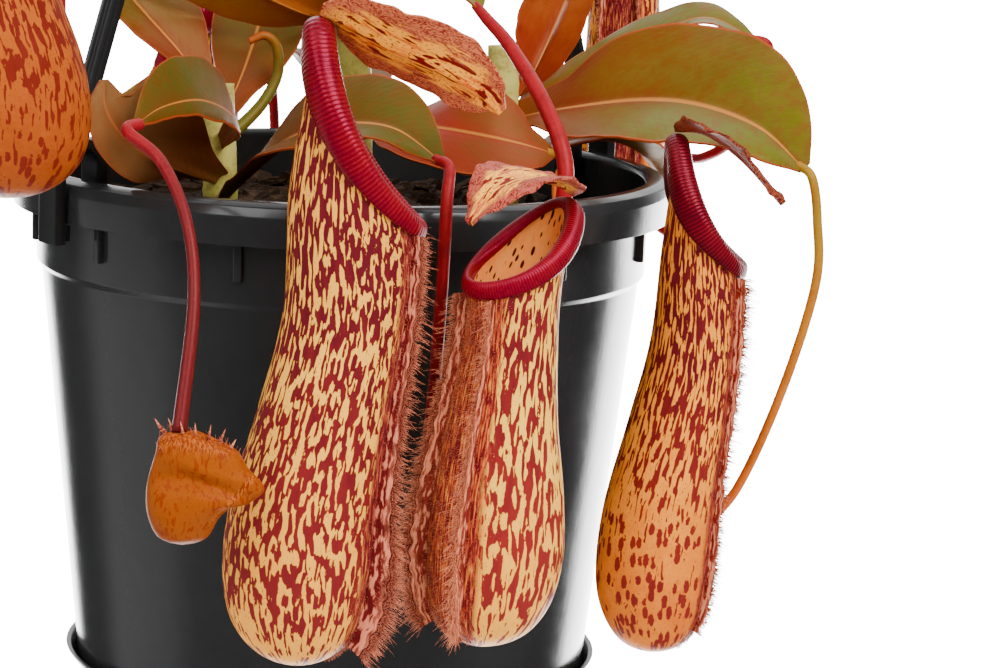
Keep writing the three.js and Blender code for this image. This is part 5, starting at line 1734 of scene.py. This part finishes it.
PITCHERS = {p.name: p for p in (
    Pitcher("pitcher_main", TALL, (-2.5, -106, 35.7), 5, (0.95, 1), 0, CupStyle.CREAM,
            [[0, 0, 0], [5.5, -1, -2.7], [15, -2, -7.5], [27, -3, -12.5], [36, -4, -17.3],
             [40.5, -4.5, -21.5]], [[0.3, 0.5, 0.8], [0.36, 0.72, 0.6]], 13.6, 1.0, 2400, 3,
            (0.38, 0.92)),
    Pitcher("pitcher_middle", ROUND, (42, -98, 40), -142, (1, 1), 0.056, CupStyle.YELLOW,
            [[-1, 0, -0.3], [4, 0.5, 1.6], [14, 2, 3.2], [24, 3.5, 1.2], [32, 4.5, -5.8]],
            [[0.1, 0.1, 1]], 11, 0.62, 2400, 5, (0.28, 0.62)),
    Pitcher("pitcher_side", SLIM, (82.4, -62, 30), 3, (0.97, 1), 0, CupStyle.ORANGE,
            [[-0.5, 0, 0], [6, -3, -1], [15, -7, -7], [24, -12, -16.5]],
            [[0.5, 0.05, 0.85]], 9, 0.8, 1800, 8, (0.36, 0.72)),
    Pitcher("pitcher_high", TALL, (-72, -100, 141.5), -160, (1.02, 0.78), 0, CupStyle.RED,
            [[0, 0, 0], [10, 0, 4], [21, 0, 3], [32, 0, -3]], [[0, 0, 1]], 12, 1.0, 600, 11),
    Pitcher("pitcher_behind", SLIM, (74.5, 86, 111), -100, (0.84, 0.9), 0, CupStyle.ORANGE,
            [[0, 0, 0], [8, 0, 3], [17, 0, 1], [26, 0, -5]], [[0, 0, 1]], 9, 0.8, 500, 13),
    Pitcher("pitcher_rear", SLIM, (-45, 94, 46), 110, (1, 1), 0, CupStyle.CREAM,
            [[0, 0, 0], [8, 0, 3], [18, 0, 1], [28, 0, -6]], [[0, 0, 1]], 10, 0.8, 600, 17),
)}


@dataclass
class YoungPitcher:
    """A small closed pitcher with a beak and a comb of teeth.

    A row of its rings is a height, a left and a right edge and a half width.
    """

    at: tuple[float, float, float] = (-27.9, -128.0, 68.3)
    rings: Rows = ((0, 0.5, 0.5, 0), (2, -5, 6, 5), (7, -7.4, 9, 7.2), (12, -7.8, 14.5, 7),
                   (16, -7.2, 18.6, 4.8), (20.5, -6, 15, 5.4), (25, -4.6, 11.5, 4),
                   (26.2, 2, 4, 0.3))
    teeth: int = 7
    hairs: int = 90
    seed: int = 23

    def skin(self, t: Array, a: Array) -> Array:
        """A point of the skin: rings between a left and a right outline.

        Args:
            t: 0 at the lowest point to 7 at the crown.
            a: radians, 0 towards the beak.

        Returns:
            The points.
        """
        z, left, right, half = np.moveaxis(smooth(self.rings, t), -1, 0)
        dip = 2.5 * np.maximum(0, np.cos(a)) * ramp(9, 13, z)
        x = (left + right) / 2 + (right - left) / 2 * np.cos(a)
        lump = 1 + 0.03 * np.sin(3 * a + z * 0.4)
        return np.stack([x, half * np.sin(a) * lump, z - dip], -1)

    def build(self) -> None:
        """Makes the body, a soft band round the closed mouth, the teeth and a few hairs."""
        rows = self.skin(*np.broadcast_arrays(np.linspace(0.06, 6.97, 90)[:, None],
                                              circle(96)[None, :]))
        x, z = rows[..., 0], rows[..., 2]
        seam = hump(z - 17.2 + 0.35 * x, 1.1) * ramp(-2, 4, x)
        brow = hump(z - 19.6 + 0.3 * x, 1.3) * ramp(0, 5, x)
        rows[..., 1] *= 1 - 0.16 * seam
        rows[..., 1] *= 1 + 0.12 * brow
        near = ramp(18, 24, z) * 0.7 + hump(z - 1.15 * x + 2.0, 1.5) * ramp(4, 9, x)
        body = lofted(rows, {"flow": stacked(x, rows[..., 1], z * 1.5),
                             "cup": stacked(near, 0.6, 0.0)})
        rng = np.random.default_rng(self.seed)
        count = self.teeth
        base = np.stack([np.linspace(-4.2, 10.5, count), rng.uniform(-2.5, 2.0, count),
                         25.4 - np.linspace(0, 3.4, count)], -1)
        ways = unit(np.stack([np.linspace(-0.6, 0.55, count), rng.uniform(-0.4, 0.4, count),
                              np.ones(count)], -1))
        teeth = spikes(base, ways, rng.uniform(3.5, 5.6, count), np.full(count, 0.6))
        many = self.hairs
        roots = self.skin(rng.uniform(5.2, 6.6, many), rng.uniform(0, TURN, many))
        ways = unit(rng.normal(0, 0.6, (many, 3)) + np.array([0, 0, 1.0]))
        hairs = spikes(roots, ways, rng.uniform(0.8, 2.4, many), np.full(many, 0.09))
        skins = [body, teeth, hairs]
        for skin in skins:
            skin.points = skin.points + np.asarray(self.at)
        add_piece("pitcher_young", skins, ["cup_young", "fringe_orange"], 70)


@dataclass
class Tendril:
    """A tendril from a leaf's tip to a pitcher's foot or a free end.

    The foot is the pitcher's name and the station and the degrees from its front.
    """

    name: str
    leaf: str
    via: Rows
    radii: Sequence[float]
    finish: str = "tendril_red"
    slot: str = "red_tendril"
    foot: Optional[tuple[str, float, float]] = None
    end: Optional[Sequence[float]] = None

    def knots(self) -> Rows:
        """The path's knots: inside the leaf's tip, along the way and into the foot."""
        path = LEAVES[self.leaf].midrib()
        forward = heading_of(path, np.array([1.0]))[0]
        tip = along(path, np.array([1.0]))[0]
        knots = [tip - forward * 2.0, tip + forward * 3.5, *map(np.asarray, self.via)]
        if self.foot is not None:
            name, station, degrees = self.foot
            pitcher = PITCHERS[name]
            u, a = np.array([float(station)]), np.array([math.radians(degrees)])
            skin = pitcher.placed(pitcher.skin(u, a))[0]
            out = turned_about_z(pitcher.frames(u, a)[1], pitcher.heading)[0]
            knots += [skin + out * 7, skin - out * 0.6]
        else:
            knots.append(np.asarray(self.end))
        return [np.asarray(k, dtype=float).tolist() for k in knots]

    def build(self) -> None:
        """Makes the tendril, swelling where it meets the pitcher."""
        radii = [self.radii[0] * 0.75, *self.radii[1:]] if self.foot else list(self.radii)
        add_piece(self.name, [tube(self.knots(), radii, 16, 120)], [self.finish])


TENDRILS = (
    Tendril("tendril_main", "leaf_front",
            [[28.5, -88, 143], [28, -93, 120], [26.5, -93, 90], [24, -86, 65]],
            [1.7, 1.5, 1.5, 1.9], foot=("pitcher_main", 1.5, 62)),
    Tendril("tendril_middle", "leaf_long",
            [[42, -50, 176], [51, -64, 163], [56, -73, 150], [54.5, -75, 134], [50, -77, 110],
             [48.5, -78, 88], [48, -78.5, 72]], [1.6, 2, 2, 2], foot=("pitcher_middle", 1.8, 215)),
    Tendril("tendril_side", "leaf_right_large",
            [[117.5, -60, 138], [118, -59, 122], [111.5, -56, 95], [102.5, -49, 69],
             [93, -43, 54]], [1.5, 1.2, 1.2, 1.6], "tendril_gold", "pale_tendril",
            ("pitcher_side", 1.5, 80)),
    Tendril("tendril_high", "leaf_high_left",
            [[-61, -74, 250], [-63, -75, 220], [-64, -75, 185], [-64, -74, 165]],
            [1.6, 1.5, 1.5, 1.9], foot=("pitcher_high", 1.8, -90)),
    Tendril("tendril_behind", "leaf_back_right",
            [[110, 20, 163], [104, 38, 147], [96, 46, 140], [90, 58, 138], [93, 76, 131]],
            [1.6, 1.4, 1.4, 1.8], foot=("pitcher_behind", 1.6, 90)),
    Tendril("tendril_rear", "leaf_back_left",
            [[-28, 86, 164], [-25, 89, 140], [-25, 91, 100], [-29, 93, 62]],
            [1.6, 1.4, 1.4, 1.8], foot=("pitcher_rear", 0.9, -90)),
    Tendril("tendril_young", "leaf_looped", [[-37, -99, 151], [-30, -108, 139], [-27, -117, 122]],
            [1.5, 1.45, 1.4, 1.7], "tendril_bright", end=[-28.6, -128, 94.0]),
    Tendril("tendril_bud", "leaf_middle", [[56, -26, 140]], [1.3, 1.3, 2.4, 0.8],
            "tendril_gold", "pale_tendril", end=[55, -37, 133.5]),
)


@dataclass
class Shoot:
    """The hooked young shoot at the left stem."""

    path: tuple = ((-29.0, -13.4, 148.5), (-26.4, -12.2, 150), (-21, -8, 156),
                   (-17.7, -5, 163), (-18, -5, 170), (-21, -6, 173), (-25, -7, 171.5))

    def build(self) -> None:
        """Makes the shoot."""
        skin = tube(self.path, [1.9, 1.5, 1.3, 0.9], 16, 70)
        add_piece("shoot", [skin], ["shoot_olive"])


# ---------------------------------------------------------------- studio


@dataclass
class Studio:
    """Camera, lights, sky and floor."""

    lens: float = 115.2
    camera_at: tuple[float, float, float] = (0.042, -0.8262, 0.2405)
    pitch: float = 9.87
    roll: float = 2.17
    floor_z: float = -0.25
    floor_half: float = 14.0
    sky: float = 0.9
    front_sky: float = 0.12
    mirrored: float = 1.5
    centre: tuple[float, float, float] = (0.02, -0.05, 0.12)

    def camera(self) -> None:
        """Places the camera: level yaw, tipped down, turned about its own axis."""
        p, r = math.radians(self.pitch), math.radians(self.roll)
        forward = Vector((0, math.cos(p), -math.sin(p)))
        right, up = Vector((1, 0, 0)), Vector((0, math.sin(p), math.cos(p)))
        x = math.cos(r) * right + math.sin(r) * up
        y = -math.sin(r) * right + math.cos(r) * up
        data = bpy.data.cameras.new("camera")
        data.lens, data.sensor_width, data.clip_end = self.lens, 36.0, 50.0
        camera = bpy.data.objects.new("camera", data)
        camera.matrix_world = (Matrix.Translation(self.camera_at)
                               @ Matrix((x, y, -forward)).transposed().to_4x4())
        bpy.context.scene.collection.objects.link(camera)
        bpy.context.scene.camera = camera

    def light(self, name: str, at: Sequence[float], towards: Sequence[float], size: float,
              power: float) -> None:
        """Adds a soft square area light.

        Args:
            name: its name.
            at: its place in metres.
            towards: the point that it faces.
            size: its width.
            power: its power in watts.
        """
        data = bpy.data.lights.new(name, "AREA")
        data.energy, data.size = power, size
        lamp = bpy.data.objects.new(name, data)
        lamp.location = at
        lamp.rotation_euler = (Vector(towards) - Vector(at)).to_track_quat("-Z", "Y").to_euler()
        bpy.context.scene.collection.objects.link(lamp)

    def world(self) -> None:
        """A white sky behind and above that darkens towards the photographed side.

        It is burnt out to white in view, and brighter in reflections of the far side.
        """
        world = bpy.data.worlds.new("studio")
        world.use_nodes = True
        bpy.context.scene.world = world
        g = Graph(world.node_tree)
        back = g.parts(g.add("ShaderNodeTexCoord", "Generated"))[1]
        even = back.step(-0.75, 0.1) * (self.sky - self.front_sky) + self.front_sky
        camera, glossy = g.rays()
        mirrored = back.step(0.6, 0.95) * self.mirrored
        strength = even * (1.0 - glossy * 0.8) + (camera * WHITE_GLOW + glossy * mirrored)
        background = g.tree.nodes["Background"]
        g.put((1.0, 1.0, 1.0), background.inputs["Color"])
        g.put(strength, background.inputs["Strength"])

    def floor(self) -> None:
        """The plain pale floor, well below the hanging pot."""
        mesh = bpy.data.meshes.new("floor")
        half = self.floor_half
        corners = [(-half, -half), (half, -half), (half, half), (-half, half)]
        mesh.from_pydata([(x, y, self.floor_z) for x, y in corners], [], [(0, 1, 2, 3)])
        mesh.materials.append(bpy.data.materials["floor_pale"])
        floor = bpy.data.objects.new("floor", mesh)
        bpy.context.scene.collection.objects.link(floor)

    def build(self) -> None:
        """Places everything."""
        self.camera()
        self.world()
        self.floor()
        self.light("key", (0.6, -0.85, 1.05), self.centre, 0.9, 34.0)
        self.light("fill", (-0.75, -0.9, 0.9), self.centre, 0.8, 13.0)
        self.light("floor_glow", (0, 1.2, 1.6), (0, 0.6, -0.25), 2.5, 30.0)


def main() -> None:
    """Builds the plant, its pot and the studio."""
    logging.basicConfig(level=logging.INFO, format="%(name)s %(message)s")
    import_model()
    for finish in FINISHES:
        finish.build()
    Studio().build()
    pot = Pot()
    pot.build()
    Saucer().build(pot)
    Bail().build(pot)
    for part in (Bark(), *STEMS.values(), *LEAVES.values(), *PITCHERS.values(), YoungPitcher(),
                 *TENDRILS, Shoot()):
        part.build()
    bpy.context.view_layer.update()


if __name__ == "__main__":
    main()
